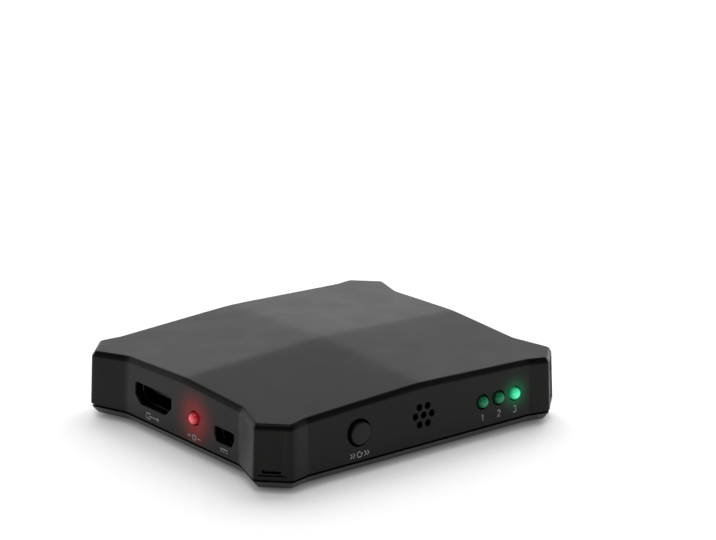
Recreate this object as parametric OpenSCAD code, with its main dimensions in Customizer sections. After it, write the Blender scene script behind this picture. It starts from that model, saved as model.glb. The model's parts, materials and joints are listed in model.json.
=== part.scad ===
// Video switch box with three inputs and one output.
// Millimetres. Z is up and the table is z = 0. The front panel faces -Y and the output end faces -X.

/* [Case] */
// Width across the corner ears
body_w = 90; // [86:1:110]
// Depth across the corner ears
body_d = 78; // [76:1:96]
// Height of the middle of the roof above the table
peak_z = 19.6; // [18.6:0.1:26]
// Leg of the cut across each corner
corner_cut = 6.6; // [5.6:0.1:8]
// How far the end walls stand in from the ears
side_recess = 3.4; // [2.6:0.1:4.2]
// How far the front and rear walls stand in from the ears
front_recess = 1.2; // [1.15:0.05:1.6]
// Length of the curved flare at each end of the end walls
side_flare = 8.6; // [8:0.1:10]
// Length of the curved flare at each end of the front and rear walls
front_flare = 3.4; // [3.3:0.1:6]
// Length of the straight ear end after each flare
ear_flat = 2.2; // [2.1:0.1:2.8]
// Fall of the roof from its middle to the middle of an end wall
side_fall = 1.7; // [0.8:0.1:2.2]
// Fall of the roof from its middle to the middle of the front wall
front_fall = 1.6; // [0.8:0.1:2.2]
// Height of the bevel round the roof
edge_h = 1.1; // [0.8:0.1:2]
// Depth of the bevel round the roof
edge_in = 0.7; // [0.5:0.1:1.5]
// How far the walls lean in from foot to bevel
wall_lean = 0.4; // [0.1:0.1:0.8]
// Thickness of the walls at the bevel
wall = 1.8; // [1.4:0.1:2.4]
// Thickness of the roof
roof = 2; // [1.4:0.1:2.6]

/* [Seam and bottom] */
// Height of the case underside above the table
foot_lift = 1; // [0.4:0.1:1.5]
// Thickness of the bottom plate
plate_h = 1.9; // [1.9:0.1:3]
// How far the edge of the bottom plate slopes in
under_bevel = 1.4; // [0.4:0.1:1.4]
// How far the bottom plate stands in from the wall foot
plate_in = 0.15; // [0:0.05:0.4]
// Height of the dark groove between the covers
seam_gap = 0.6; // [0.3:0.1:1]
// Depth of the dark groove between the covers
seam_in = 0.9; // [0.5:0.1:1.2]
// Gap between the top of the locating lip and the board
lip_clear = 0.3; // [0.2:0.05:0.8]
// Thickness of the locating lip
lip_t = 1.1; // [0.8:0.1:1.4]
// Clearance between lip and wall
lip_fit = 0.15; // [0.1:0.05:0.3]
// Diameter of a rubber foot
foot_d = 8; // [6:0.5:10]
// Depth of a foot inside its recess
foot_sink = 0.5; // [0.3:0.1:0.8]
// Width of the bare label recess in the underside
label_w = 40; // [20:1:50]
// Height of the bare label recess in the underside
label_d = 25; // [12:1:36]
// Depth of the bare label recess in the underside
label_sink = 0.2; // [0.1:0.05:0.4]

/* [Corner panels and snaps] */
// Width of the sunk panel in each corner
panel_w = 5.5; // [5.2:0.1:5.8]
// Depth of the sunk panel
panel_sink = 0.5; // [0.3:0.05:0.7]
// Width of the sloped sides of the sunk panel
panel_side = 0.95; // [0.4:0.05:1.1]
// Height of the sunk panel's foot above the wall foot
panel_lift = 0.8; // [0.5:0.1:1]
// Distance of the sunk panel's top below the roof bevel
panel_drop = 0.3; // [0.2:0.1:1]
// Width of a snap arm
arm_w = 4; // [3.4:0.1:4.2]
// Thickness of a snap arm
arm_t = 1.2; // [1:0.1:1.5]
// Width of the slot in the corner
slot_w = 4.4; // [4.3:0.1:5]
// Height of the slot in the corner
slot_h = 0.9; // [0.8:0.1:1.6]
// Height of the slot above the wall foot
slot_lift = 1.3; // [0.9:0.1:1.6]
// How far the hook reaches into the slot
hook_reach = 0.8; // [0.5:0.1:1.1]
// Clearance between hook and slot
hook_fit = 0.1; // [0.05:0.05:0.2]

/* [Board] */
// Thickness of the circuit board
board_t = 1.6; // [1.2:0.1:2]
// Gap between bottom plate and board
board_lift = 1.9; // [1.8:0.1:3]
// Gap between board edge and wall
board_gap = 0.6; // [0.4:0.1:1]
// Distance of the board screws from the end edges
screw_in_x = 5.5; // [5:0.1:7]
// Distance of the board screws from the front and rear edges
screw_in_y = 6.5; // [6:0.1:8]
// Diameter of a screw shank
screw_d = 2; // [1.6:0.1:2.4]
// Diameter of a screw head
screw_head_d = 4.4; // [3.6:0.1:5]
// Clearance round a screw shank in its post
screw_fit = 0.06; // [0.04:0.01:0.12]
// Clearance round a leg or lead in its board hole
lead_fit = 0.15; // [0.1:0.05:0.25]

/* [Select button] */
// Distance of the button from the left end wall
button_in = 23.3; // [21:0.1:26]
// Height of the middle of the button above the board
button_up = 3.9; // [3.4:0.1:4]
// Diameter of the button
button_d = 5.5; // [5:0.1:6.2]
// Clearance round the button
button_fit = 0.5; // [0.3:0.05:0.6]
// How far the button stands out of the wall
button_proud = 0.9; // [0.7:0.1:1]
// Press depth of the button
button_travel = 0.5; // [0.3:0.1:0.6]

/* [Lamps and receiver holes] */
// Diameter of a lamp lens
lamp_d = 3; // [2.6:0.1:3.4]
// Length of a lamp lens
lamp_len = 5.3; // [5:0.1:6]
// How far a lens stands out of the wall
lamp_proud = 1.3; // [0.9:0.1:1.4]
// Clearance round a lens in the wall
lamp_fit = 0.3; // [0.2:0.05:0.4]
// Height of the lamps above the board
lamp_up = 3.2; // [2.8:0.1:3.4]
// Distance of the middle input lamp from the right end wall
lamp_in = 18; // [17.5:0.1:20]
// Spacing of the input lamps
lamp_pitch = 4.92; // [4.6:0.01:5.2]
// Position of the power lamp along the left end
power_y = -5; // [-5.5:0.1:-2]
// Middle of the receiver holes across the front
holes_x = 0.8; // [-1:0.1:3]
// Height of the middle receiver hole above the board
holes_up = 3.9; // [3.4:0.1:4]
// Spacing of the receiver holes
holes_pitch = 2.45; // [2.2:0.05:2.7]
// Diameter of a receiver hole
holes_d = 1.65; // [1.2:0.05:1.8]

/* [Sockets] */
// Position of the output socket along the left end
out_y = 11.6; // [11:0.1:13]
// Position of the power socket along the left end
usb_y = -16.6; // [-17:0.1:-14.5]
// Distance of the outer input sockets from the board ends
in_from_end = 18.8; // [18:0.1:20.5]
// Inside width of a video socket
hdmi_w = 14; // [13.9:0.05:14.2]
// Inside height of a video socket
hdmi_h = 4.55; // [4.45:0.05:4.7]
// Depth of a video socket
hdmi_deep = 11.4; // [10.8:0.1:12]
// Inside width of the power socket
usb_w = 7; // [6.8:0.05:7.2]
// Inside height of the power socket
usb_h = 3.1; // [3:0.05:3.3]
// Depth of the power socket
usb_deep = 9.2; // [8.6:0.1:9.8]
// Thickness of a socket shell
shell_t = 0.4; // [0.3:0.05:0.5]
// Clearance of the wall hole round a socket mouth
port_fit = 0.2; // [0.1:0.05:0.35]
// Gap between socket mouth and inner wall face
port_gap = 0.15; // [0.1:0.05:0.3]
// Lift of a video socket shell above the board
hdmi_foot = 0.5; // [0.3:0.05:0.6]

/* [Hidden] */
$fn = 48;

// Small overlap that joins parts of one solid
joint = 0.4;
// How far a cut runs past the face that it opens
past = 1;
root2 = sqrt(2);
// Straight walls and ears
ear_x = body_w / 2;
ear_y = body_d / 2;
main_x = ear_x - side_recess;
main_y = ear_y - front_recess;
slope_x = side_fall / main_x;
slope_y = front_fall / main_y;
// Flares: a hollow arc, a straight ramp and a round arc, tangent to the wall and to the straight ear end
side_slope = 0.33;
front_slope = 0.2;
flare_y0 = ear_y - corner_cut - ear_flat - side_flare;
flare_x0 = ear_x - corner_cut - ear_flat - front_flare;
// Radii of the hollow and the round arc, as shares of the radius that would leave no ramp
flare_rx = [0.45, 0.5] * flare_radius(side_recess - ear_flat * side_slope, side_flare, atan(side_slope));
flare_ry = [0.35, 0.99] * flare_radius(front_recess - ear_flat * front_slope, front_flare, atan(front_slope));
arc_steps = 3;
corner_sum = ear_x + ear_y - corner_cut;
// Heights
deck_z = foot_lift + plate_h;
seam_z = deck_z + seam_gap;
board_z = deck_z + board_lift;
lip_h = board_lift - lip_clear;
board_top = board_z + board_t;
// Inner faces of the walls
inner_in = wall + wall_lean;
inner_x = main_x - inner_in;
inner_y = main_y - inner_in;
// Sunk corner panels follow the lean of the wall
corner_edge_z = peak_z - slope_x * (ear_x - corner_cut / 2) - slope_y * (ear_y - corner_cut / 2) - edge_h;
lean_angle = atan(wall_lean / (corner_edge_z - seam_z));
panel_h = corner_edge_z - panel_drop - seam_z - panel_lift;
// They stand nearer to the end wall by half of what the corner cut leaves beside them
panel_shift = (corner_cut / root2 - panel_w / 2 - panel_side) / 2;
// Board outline
board_x = inner_x - board_gap;
board_y = inner_y - board_gap;
arm_face_in = inner_in + lip_fit;
board_cut = max(1, board_x + board_y - corner_sum + (arm_face_in + arm_t + board_gap) * root2);
screw_x = board_x - screw_in_x;
screw_y = board_y - screw_in_y;
post_d = screw_head_d + 1.2;
screw_head_h = 1.5;
screw_drive = [2.6, 0.5, 0.8];
screw_hole_fit = 0.3;
foot_fit = 0.1;
screw_floor = 0.7;
screw_tip_gap = 0.3;
// Snap arms
arm_over = 0.3;
hook_lip = 0.35;
// Outer wall faces at the height of the fittings
lean_share = (board_top + lamp_up - seam_z) / (peak_z - side_fall - edge_h - seam_z);
face_x = main_x - wall_lean * lean_share;
face_y = main_y - wall_lean * lean_share;
// Button and switch, measured back from the inner wall face
button_x = button_in - main_x;
button_z = board_top + button_up;
flange_gap = 0.1;
flange_t = 0.8;
flange_lip = 0.8;
flange_d = button_d + 2 * (button_fit + flange_lip);
flange_over_board = 0.35;
flange_flat = button_up - flange_over_board;
stem_d = 3;
stem_len = 0.7;
flange_y = -inner_y + flange_gap;
plunger_y = flange_y + flange_t + stem_len;
plunger_d = 3.4;
press_gap = 0.3;
plunger_reach = press_gap + button_travel;
plunger_fit = 0.2;
switch_y = plunger_y + plunger_reach;
switch_w = 6.2;
switch_deep = 3.6;
switch_cover_t = 0.3;
switch_up = 3.2;
collar_d = 4.4;
collar_t = 0.5;
collar_gap = 0.1;
collar_fit = 0.3;
switch_pit = collar_gap + collar_t + button_travel + press_gap;
switch_leg = [0.7, 0.3];
switch_leg_x = 2.25;
switch_leg_up = 1.6;
switch_leg_out = 0.9;
// Lamps
lamp_x = main_x - lamp_in;
lamp_z = board_top + lamp_up;
lamp_lead = 0.5;
lamp_lead_gap = 2.54;
lamp_lead_out = 1.7;
lamp_flange = 0.4;
lamp_flange_t = 1;
lead_below = 1;
// Receiver
holes_z = board_top + holes_up;
ir_w = 6;
ir_deep = 3;
ir_h = 6.8;
ir_bump = 1.5;
ir_lens_r = 2.5;
ir_gap = 0.3;
ir_y = -inner_y + ir_gap + ir_bump;
ir_lead = [0.5, 0.4];
ir_lead_gap = 2.54;
// Sockets
in_pitch = board_x - in_from_end;
hdmi_cut = 2.05;
hdmi_axis = hdmi_foot + shell_t + hdmi_h / 2;
hdmi_tongue_t = 1.3;
hdmi_tongue_w = 11.2;
hdmi_tongue_up = 0.35;
hdmi_tip = 1.8;
hdmi_block = 3.6;
hdmi_heel = 1;
hdmi_legs = [2.2, 8.2];
usb_cut_w = 0.8;
usb_cut_h = 1.5;
usb_axis = shell_t + usb_h / 2;
usb_tongue_t = 0.8;
usb_tongue_w = 4.2;
usb_tongue_up = 0.35;
usb_tip = 1.6;
usb_block = 2.6;
usb_heel = 0.6;
usb_legs = [2, 6.6];
// Contacts of the sockets
hdmi_row = 10;
hdmi_contact_gap = 1;
hdmi_contact_w = 0.3;
usb_row = 5;
usb_contact_gap = 0.8;
usb_contact_w = 0.35;
contact_tip = 0.5;
contact_space = 0.02;
heel_over = 1;
leg_w = 1.4;
leg_over = 0.6;
contact_t = 0.12;
contact_foot = 0.8;
insert_fit = 0.05;
// Chips on the board, placed from its middle or from the socket that they serve
chip_at = [4, 6];
chip_w = 10;
chip_h = 1.4;
chip_pitch = 0.5;
chip_row = 16;
chip_lead_w = 0.22;
chip_mark_in = 1.2;
chip_mark_d = 1;
chip_stand = 0.1;
chip_top = chip_stand + chip_h;
mark_sink = 0.1;
control_at = [4, -17];
control_w = 10;
control_d = 3.9;
control_row = 8;
control_pitch = 1.27;
control_lead_w = 0.42;
control_mark_in = 1;
control_mark_d = 0.9;
usb_back = port_gap - inner_x + usb_deep + usb_heel + contact_foot;
regulator_at = [usb_back + 6.8, usb_y];
regulator_w = 6.5;
regulator_d = 3.5;
regulator_h = 1.5;
regulator_pitch = 2.3;
regulator_lead_w = 0.7;
regulator_tab_w = 3;
// Bent leads of the chips
gull_h = 0.9;
gull_t = 0.15;
gull_knee = 0.35;
gull_step = 0.55;
gull_slant = 0.1;
gull_reach = 1.1;
// Small parts
can_d = 6.3;
can_h = 5.2;
can_base = 6.6;
can_base_h = 0.8;
can_base_cut = 1.2;
can_at = [[-21, -5.5], [-12.5, -5.5]];
crystal_at = [-9, -17];
crystal_len = 10.5;
crystal_w = 4.2;
crystal_h = 3.4;
chip_cap = [1.6, 0.8, 0.8];
chip_res = [1.6, 0.8, 0.5];
cap_gap = 3;
cap_pitch = 3.2;
regulator_cap_x = 5.4;
surge = [2.5, 1.2, 0.6];
surge_gap = 1.2;
surge_x = 2.6;
resistor_gap = 3;
resistor_pitch = 1.8;
lamp_back = lamp_len + lamp_lead_out + lamp_lead - face_y - lamp_proud;
switch_back = switch_y + switch_cover_t + switch_deep + switch_leg_out + switch_leg[1];

// Height of the roof plane over a point
function roof_z(x, y) = peak_z - slope_x * abs(x) - slope_y * abs(y);

// Radius of two equal arcs that leave a wall, rise by h over the length l and end in the turn of the ear
function flare_radius(h, l, ear_turn) =
    let(c = cos(ear_turn), b = h * (1 + c) - l * sin(ear_turn), q = h * h + l * l)
    q / (b + sqrt(b * b + 2 * (1 - c) * q));

// Points of one flare set in by d: hollow arc, round arc and ear, with the first axis pointing out of wall m
function flare(m, ear, start, l, rad, slope, d) =
    let(ear_turn = atan(slope),
        cx = ear - ear_flat * slope - rad[1] * cos(ear_turn), cy = start + l + rad[1] * sin(ear_turn),
        a = m + rad[0] - cx, b = cy - start, turn = atan2(b, a) - acos((rad[0] + rad[1]) / norm([a, b])),
        back = d * (1 + root2 * sin(ear_turn)) / (cos(ear_turn) + sin(ear_turn)))
    concat(
        [for (i = [0:arc_steps]) let(t = turn * i / arc_steps)
            [m + rad[0] - (rad[0] + d) * cos(t), start + (rad[0] + d) * sin(t)]],
        [for (i = [0:arc_steps]) let(t = turn + (ear_turn - turn) * i / arc_steps)
            [cx + (rad[1] - d) * cos(t), cy - (rad[1] - d) * sin(t)]],
        [[ear - back, start + l + ear_flat + back - d * root2]]);

function flipped(list) = [for (i = [len(list) - 1:-1:0]) list[i]];
function swapped(list) = [for (p = list) [p[1], p[0]]];
function signed(list, sx, sy) = [for (p = list) [sx * p[0], sy * p[1]]];

// One quarter of the case outline, set in by d, without the two middles
function quarter(d) = concat(flare(main_x, ear_x, flare_y0, side_flare, flare_rx, side_slope, d),
    flipped(swapped(flare(main_y, ear_y, flare_x0, front_flare, flare_ry, front_slope, d))));

// Whole case outline, set in by d
function outline(d) = concat(
    [[main_x - d, 0]], quarter(d),
    [[0, main_y - d]], signed(flipped(quarter(d)), -1, 1),
    [[d - main_x, 0]], signed(quarter(d), -1, -1),
    [[0, d - main_y]], signed(flipped(quarter(d)), 1, -1));

function level(d, z) = [for (p = outline(d)) [p[0], p[1], z]];
function under_roof(d, drop) = [for (p = outline(d)) [p[0], p[1], roof_z(p[0], p[1]) - drop]];

// Solid through rings of points, closed by a fan to the foot point and to the top point
module loft(rings, foot, top) {
    n = len(rings[0]);
    m = len(rings);
    last = (m - 1) * n;
    polyhedron(
        points = concat([for (r = rings) each r], [foot, top]),
        faces = concat(
            [for (j = [0:n - 1]) [j, (j + 1) % n, m * n]],
            [for (i = [0:m - 2]) for (j = [0:n - 1]) let(k = (j + 1) % n)
                [i * n + j, (i + 1) * n + j, (i + 1) * n + k]],
            [for (i = [0:m - 2]) for (j = [0:n - 1]) let(k = (j + 1) % n)
                [i * n + j, (i + 1) * n + k, i * n + k]],
            [for (j = [0:n - 1]) [last + (j + 1) % n, last + j, m * n + 1]]),
        convexity = 8);
}

// Children repeated in the four corners
module four_corners() {
    for (sx = [0, 1], sy = [0, 1])
        mirror([sx, 0, 0]) mirror([0, sy, 0]) children();
}

// Children placed on a corner panel: local X points out of the case, local -Y to the end wall
module on_cut(d) {
    translate([ear_x - corner_cut / 2 - d / root2, ear_y - corner_cut / 2 - d / root2, 0])
        rotate([0, 0, 45]) translate([0, -panel_shift, 0]) children();
}

// Round bar along Y from y0 to y1
module bar_y(d, y0, y1) {
    translate([0, y1, 0]) rotate([90, 0, 0]) cylinder(d = d, h = y1 - y0);
}

// Flat shape drawn in X and Z, run along Y from y0 to y1
module run_y(y0, y1) {
    translate([0, y1, 0]) rotate([90, 0, 0]) linear_extrude(y1 - y0) children();
}

// Strip bent in the Y and Z directions, w wide along X
module bent_strip(points, w) {
    rotate([90, 0, 90]) translate([0, 0, -w / 2]) linear_extrude(w) polygon(points);
}

// Places of the fittings, with local -Y pointing out of the case and local z = 0 on the board
module at_left(y) {
    translate([port_gap - inner_x, y, board_top]) rotate([0, 0, -90]) children();
}
module at_rear(x) {
    translate([x, inner_y - port_gap, board_top]) rotate([0, 0, 180]) children();
}
module at_lamp(i) {
    translate([lamp_x + (i - 2) * lamp_pitch, -face_y - lamp_proud, lamp_z]) children();
}
module at_power() {
    translate([-face_x - lamp_proud, power_y, lamp_z]) rotate([0, 0, -90]) children();
}
module on_board(p) {
    translate([p[0], p[1], board_top]) children();
}

// Socket mouth with the lower corners cut, grown by g on every side
module mouth(w, h, cw, ch, g) {
    grow = g * (2 - root2);
    polygon([[-w / 2 - g, h / 2 + g], [-w / 2 - g, ch - h / 2 + grow - g], [cw - w / 2 + grow - g, -h / 2 - g],
        [w / 2 - cw - grow + g, -h / 2 - g], [w / 2 + g, ch - h / 2 + grow - g], [w / 2 + g, h / 2 + g]]);
}
module hdmi_mouth(g) {
    mouth(hdmi_w, hdmi_h, hdmi_cut, hdmi_cut, g);
}
module usb_mouth(g) {
    mouth(usb_w, usb_h, usb_cut_w, usb_cut_h, g);
}

// Four legs of a socket shell, grown by g for the board slots
module shell_legs(w, legs, up, g) {
    for (s = [-1, 1], y = legs)
        translate([s * (w / 2 + shell_t / 2), y, (up - board_t - lead_below) / 2])
            cube([shell_t + 2 * g, leg_w + 2 * g, up + board_t + lead_below], center = true);
}

// Video socket in its own place
module hdmi_shell() {
    translate([0, 0, hdmi_axis]) run_y(0, hdmi_deep) difference() {
        hdmi_mouth(shell_t);
        hdmi_mouth(0);
    }
    shell_legs(hdmi_w, hdmi_legs, hdmi_axis + leg_over, 0);
}
module hdmi_insulator() {
    top = hdmi_axis + hdmi_tongue_up + hdmi_tongue_t / 2;
    low = hdmi_axis + hdmi_tongue_up - hdmi_tongue_t / 2;
    back = hdmi_deep + hdmi_heel;
    difference() {
        union() {
            translate([0, 0, hdmi_axis])
                run_y(hdmi_deep - hdmi_block, hdmi_deep + joint) hdmi_mouth(-insert_fit);
            translate([-hdmi_tongue_w / 2, hdmi_tip, low])
                cube([hdmi_tongue_w, hdmi_deep - hdmi_tip, hdmi_tongue_t]);
            translate([-hdmi_tongue_w / 2, hdmi_deep, 0]) cube([hdmi_tongue_w, hdmi_heel, top + heel_over]);
        }
        for (z = [top, low - contact_t])
            translate([-hdmi_row * hdmi_contact_gap / 2, hdmi_deep - hdmi_block - joint, z])
                cube([hdmi_row * hdmi_contact_gap, back, contact_t]);
    }
}
module hdmi_contacts() {
    top = hdmi_axis + hdmi_tongue_up + hdmi_tongue_t / 2;
    low = hdmi_axis + hdmi_tongue_up - hdmi_tongue_t / 2 - contact_t;
    for (i = [0:hdmi_row - 1]) translate([(i - (hdmi_row - 1) / 2) * hdmi_contact_gap, 0, 0])
        contact(hdmi_tip + contact_tip, hdmi_deep + hdmi_heel, top, hdmi_contact_w);
    for (i = [0:hdmi_row - 2]) translate([(i - (hdmi_row - 2) / 2) * hdmi_contact_gap, 0, 0])
        contact(hdmi_tip + contact_tip, hdmi_deep + hdmi_heel, low, hdmi_contact_w);
}

// One contact: along the tongue at height z, down the back of the insulator and out along the board
module contact(y0, back, z, w) {
    drop = back + contact_space;
    bent_strip([[y0, z], [drop, z], [drop, 0], [back + contact_foot, 0], [back + contact_foot, contact_t],
        [drop + contact_t, contact_t], [drop + contact_t, z + contact_t], [y0, z + contact_t]], w);
}

// Power socket in its own place
module usb_shell() {
    translate([0, 0, usb_axis]) run_y(0, usb_deep) difference() {
        usb_mouth(shell_t);
        usb_mouth(0);
    }
    shell_legs(usb_w, usb_legs, usb_axis + leg_over, 0);
}
module usb_insulator() {
    low = usb_axis + usb_tongue_up - usb_tongue_t / 2;
    difference() {
        union() {
            translate([0, 0, usb_axis]) run_y(usb_deep - usb_block, usb_deep + joint) usb_mouth(-insert_fit);
            translate([-usb_tongue_w / 2, usb_tip, low]) cube([usb_tongue_w, usb_deep - usb_tip, usb_tongue_t]);
            translate([-usb_tongue_w / 2, usb_deep, 0]) cube([usb_tongue_w, usb_heel, low + usb_tongue_t]);
        }
        translate([-usb_row * usb_contact_gap / 2, usb_deep - usb_block - joint, low - contact_t])
            cube([usb_row * usb_contact_gap, usb_deep, contact_t]);
    }
}
module usb_contacts() {
    low = usb_axis + usb_tongue_up - usb_tongue_t / 2 - contact_t;
    for (i = [0:usb_row - 1]) translate([(i - (usb_row - 1) / 2) * usb_contact_gap, 0, 0])
        contact(usb_tip + contact_tip, usb_deep + usb_heel, low, usb_contact_w);
}

// Lamp with its tip at the origin, lying along Y
module lamp_lens() {
    translate([0, lamp_d / 2, 0]) sphere(d = lamp_d);
    bar_y(lamp_d, lamp_d / 2, lamp_len);
    bar_y(lamp_d + 2 * lamp_flange, lamp_len - lamp_flange_t, lamp_len);
}
module lamp_leads() {
    half = lamp_lead / 2;
    foot = -lamp_up - board_t - lead_below;
    bend = lamp_len + lamp_lead_out;
    for (s = [-1, 1]) translate([s * lamp_lead_gap / 2, 0, 0])
        bent_strip([[lamp_len, -half], [bend, -half], [bend, foot], [bend + lamp_lead, foot],
            [bend + lamp_lead, half], [lamp_len, half]], lamp_lead);
}
module lamp_lead_holes() {
    for (s = [-1, 1])
        translate([s * lamp_lead_gap / 2, lamp_len + lamp_lead_out + lamp_lead / 2, -lamp_up - board_t - past])
            cylinder(d = lamp_lead * root2 + 2 * lead_fit, h = board_t + 2 * past);
}

// Bent lead of a surface chip: leaves the side of the chip, steps down and ends flat on the board
module gull(w) {
    bent_strip([[0, gull_h], [gull_knee, gull_h], [gull_step, gull_t], [gull_reach, gull_t], [gull_reach, 0],
        [gull_step - gull_slant, 0], [gull_knee - gull_slant, gull_h - gull_t], [0, gull_h - gull_t]], w);
}

// Case
module top_cover() {
    color("#202124") difference() {
        union() {
            loft([level(0, seam_z), under_roof(wall_lean, edge_h), under_roof(wall_lean + edge_in, 0)],
                [0, 0, seam_z], [0, 0, peak_z]);
            translate([0, 0, deck_z]) linear_extrude(seam_gap + joint) polygon(outline(seam_in));
        }
        loft([level(inner_in, deck_z - past), under_roof(inner_in, roof)],
            [0, 0, deck_z - past], [0, 0, peak_z - roof]);
        // Button, lamp and receiver holes
        translate([button_x, 0, button_z]) bar_y(button_d + 2 * button_fit, -ear_y - past, -inner_y + past);
        for (i = [1:3]) at_lamp(i) bar_y(lamp_d + 2 * lamp_fit, -2 * past, inner_in + 2 * past);
        at_power() bar_y(lamp_d + 2 * lamp_fit, -2 * past, inner_in + 2 * past);
        translate([holes_x, 0, holes_z]) receiver_holes();
        // Socket holes
        at_left(out_y) translate([0, 0, hdmi_axis]) run_y(-inner_in - 2 * past, 0) hdmi_mouth(port_fit);
        at_left(usb_y) translate([0, 0, usb_axis]) run_y(-inner_in - 2 * past, 0) usb_mouth(port_fit);
        for (i = [-1:1]) at_rear(i * in_pitch)
            translate([0, 0, hdmi_axis]) run_y(-inner_in - 2 * past, 0) hdmi_mouth(port_fit);
        // Sunk panels and snap slots in the corners
        four_corners() on_cut(0) translate([0, 0, seam_z]) rotate([0, -lean_angle, 0])
            translate([0, 0, panel_lift]) linear_extrude(panel_h) panel_plan();
        four_corners() on_cut(inner_in + past)
            translate([0, -slot_w / 2, seam_z + slot_lift]) cube([inner_in + 2 * past, slot_w, slot_h]);
    }
}

// Plan of a sunk panel: flat floor and sloped sides, open towards local X
module panel_plan() {
    floor_y = panel_w / 2;
    mouth_y = floor_y + 2 * panel_side;
    polygon([[-panel_sink, -floor_y], [panel_sink, -mouth_y], [panel_sink, mouth_y], [-panel_sink, floor_y]]);
}

// Middle hole and six round it
module receiver_holes() {
    bar_y(holes_d, -ear_y - past, -inner_y + past);
    for (a = [0:60:300])
        translate([holes_pitch * cos(a), 0, holes_pitch * sin(a)])
            bar_y(holes_d, -ear_y - past, -inner_y + past);
}

module bottom_cover() {
    slot_z = seam_z + slot_lift;
    color("#1c1d20") difference() {
        union() {
            loft([level(plate_in + under_bevel, foot_lift), level(plate_in, deck_z)],
                [0, 0, foot_lift], [0, 0, deck_z]);
            translate([0, 0, deck_z - joint]) linear_extrude(lip_h + joint) difference() {
                polygon(outline(arm_face_in));
                polygon(outline(arm_face_in + lip_t));
            }
            four_corners() translate([screw_x, screw_y, deck_z - joint])
                cylinder(d = post_d, h = board_lift + joint);
            four_corners() on_cut(arm_face_in) snap_arm(slot_z);
        }
        four_corners() translate([screw_x, screw_y, foot_lift + foot_sink + screw_floor])
            cylinder(d = screw_d + 2 * screw_fit, h = plate_h + board_lift);
        four_corners() translate([screw_x, screw_y, foot_lift - past])
            cylinder(d = foot_d + 2 * foot_fit, h = past + foot_sink);
        translate([-label_w / 2, -label_d / 2, foot_lift - past]) cube([label_w, label_d, past + label_sink]);
    }
}

// Arm against the inside of the corner, with its hook in the slot
module snap_arm(slot_z) {
    hook_z = slot_z + hook_fit;
    hook_top = slot_z + slot_h - hook_fit;
    out = lip_fit + hook_reach;
    translate([-arm_t, -arm_w / 2, deck_z - joint]) cube([arm_t, arm_w, hook_top + arm_over - deck_z + joint]);
    rotate([90, 0, 0]) translate([0, 0, -arm_w / 2]) linear_extrude(arm_w)
        polygon([[-joint, hook_z], [out, hook_z], [out, hook_z + hook_lip], [0, hook_top], [-joint, hook_top]]);
}

module rubber_feet() {
    color("#101010") four_corners() translate([screw_x, screw_y, 0])
        cylinder(d = foot_d, h = foot_lift + foot_sink);
}

module board_screws() {
    color("#b8bcc0") four_corners() translate([screw_x, screw_y, 0]) {
        tip = foot_lift + foot_sink + screw_floor + screw_tip_gap;
        translate([0, 0, tip]) cylinder(d = screw_d, h = board_top - tip + joint);
        translate([0, 0, board_top]) difference() {
            cylinder(d = screw_head_d, h = screw_head_h);
            for (a = [0, 90]) rotate([0, 0, a])
                translate([-screw_drive[0] / 2, -screw_drive[1] / 2, screw_head_h - screw_drive[2]])
                    cube([screw_drive[0], screw_drive[1], screw_drive[2] + past]);
        }
    }
}

// Front panel
module select_button() {
    color("#26272a") translate([button_x, 0, button_z]) {
        bar_y(button_d, -face_y - button_proud, flange_y + joint);
        intersection() {
            bar_y(flange_d, flange_y, flange_y + flange_t);
            translate([-flange_d, flange_y, -flange_flat]) cube([2 * flange_d, flange_t, 2 * flange_flat]);
        }
        bar_y(stem_d, flange_y, plunger_y);
    }
}

module push_switch_base() {
    color("#151517") translate([button_x, 0, 0]) difference() {
        translate([-switch_w / 2, switch_y + switch_cover_t, board_top])
            cube([switch_w, switch_deep, button_up + switch_up]);
        translate([0, 0, button_z])
            bar_y(collar_d + 2 * collar_fit, switch_y, switch_y + switch_cover_t + switch_pit);
    }
}

module push_switch_cover() {
    color("#c8ccd0") translate([button_x, 0, 0]) difference() {
        translate([-switch_w / 2, switch_y, board_top]) cube([switch_w, switch_cover_t, button_up + switch_up]);
        translate([0, 0, button_z]) bar_y(plunger_d + 2 * plunger_fit, switch_y - past, switch_y + past);
    }
}

module push_switch_plunger() {
    collar_y = switch_y + switch_cover_t + collar_gap;
    color("#5a3a22") translate([button_x, 0, button_z]) {
        bar_y(plunger_d, plunger_y, collar_y + joint);
        bar_y(collar_d, collar_y, collar_y + collar_t);
    }
}

module push_switch_terminals() {
    color("#c8ccd0") translate([button_x, switch_y + switch_cover_t + switch_deep, board_top])
        for (s = [-1, 1]) translate([s * switch_leg_x, 0, 0]) {
            far = switch_leg_out + switch_leg[1];
            foot = -board_t - lead_below;
            bent_strip([[0, switch_leg_up], [switch_leg_out, switch_leg_up], [switch_leg_out, foot],
                [far, foot], [far, switch_leg_up + switch_leg[1]], [0, switch_leg_up + switch_leg[1]]],
                switch_leg[0]);
        }
}

module input_lamp_1() {
    color("#2fae5c") at_lamp(1) lamp_lens();
}
module input_lamp_2() {
    color("#2fae5c") at_lamp(2) lamp_lens();
}
module input_lamp_3() {
    color("#35f08a") at_lamp(3) lamp_lens();
}
module input_lamp_leads() {
    color("#c8ccd0") for (i = [1:3]) at_lamp(i) lamp_leads();
}
module power_lamp() {
    color("#ff2a2a") at_power() lamp_lens();
}
module power_lamp_leads() {
    color("#c8ccd0") at_power() lamp_leads();
}

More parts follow.
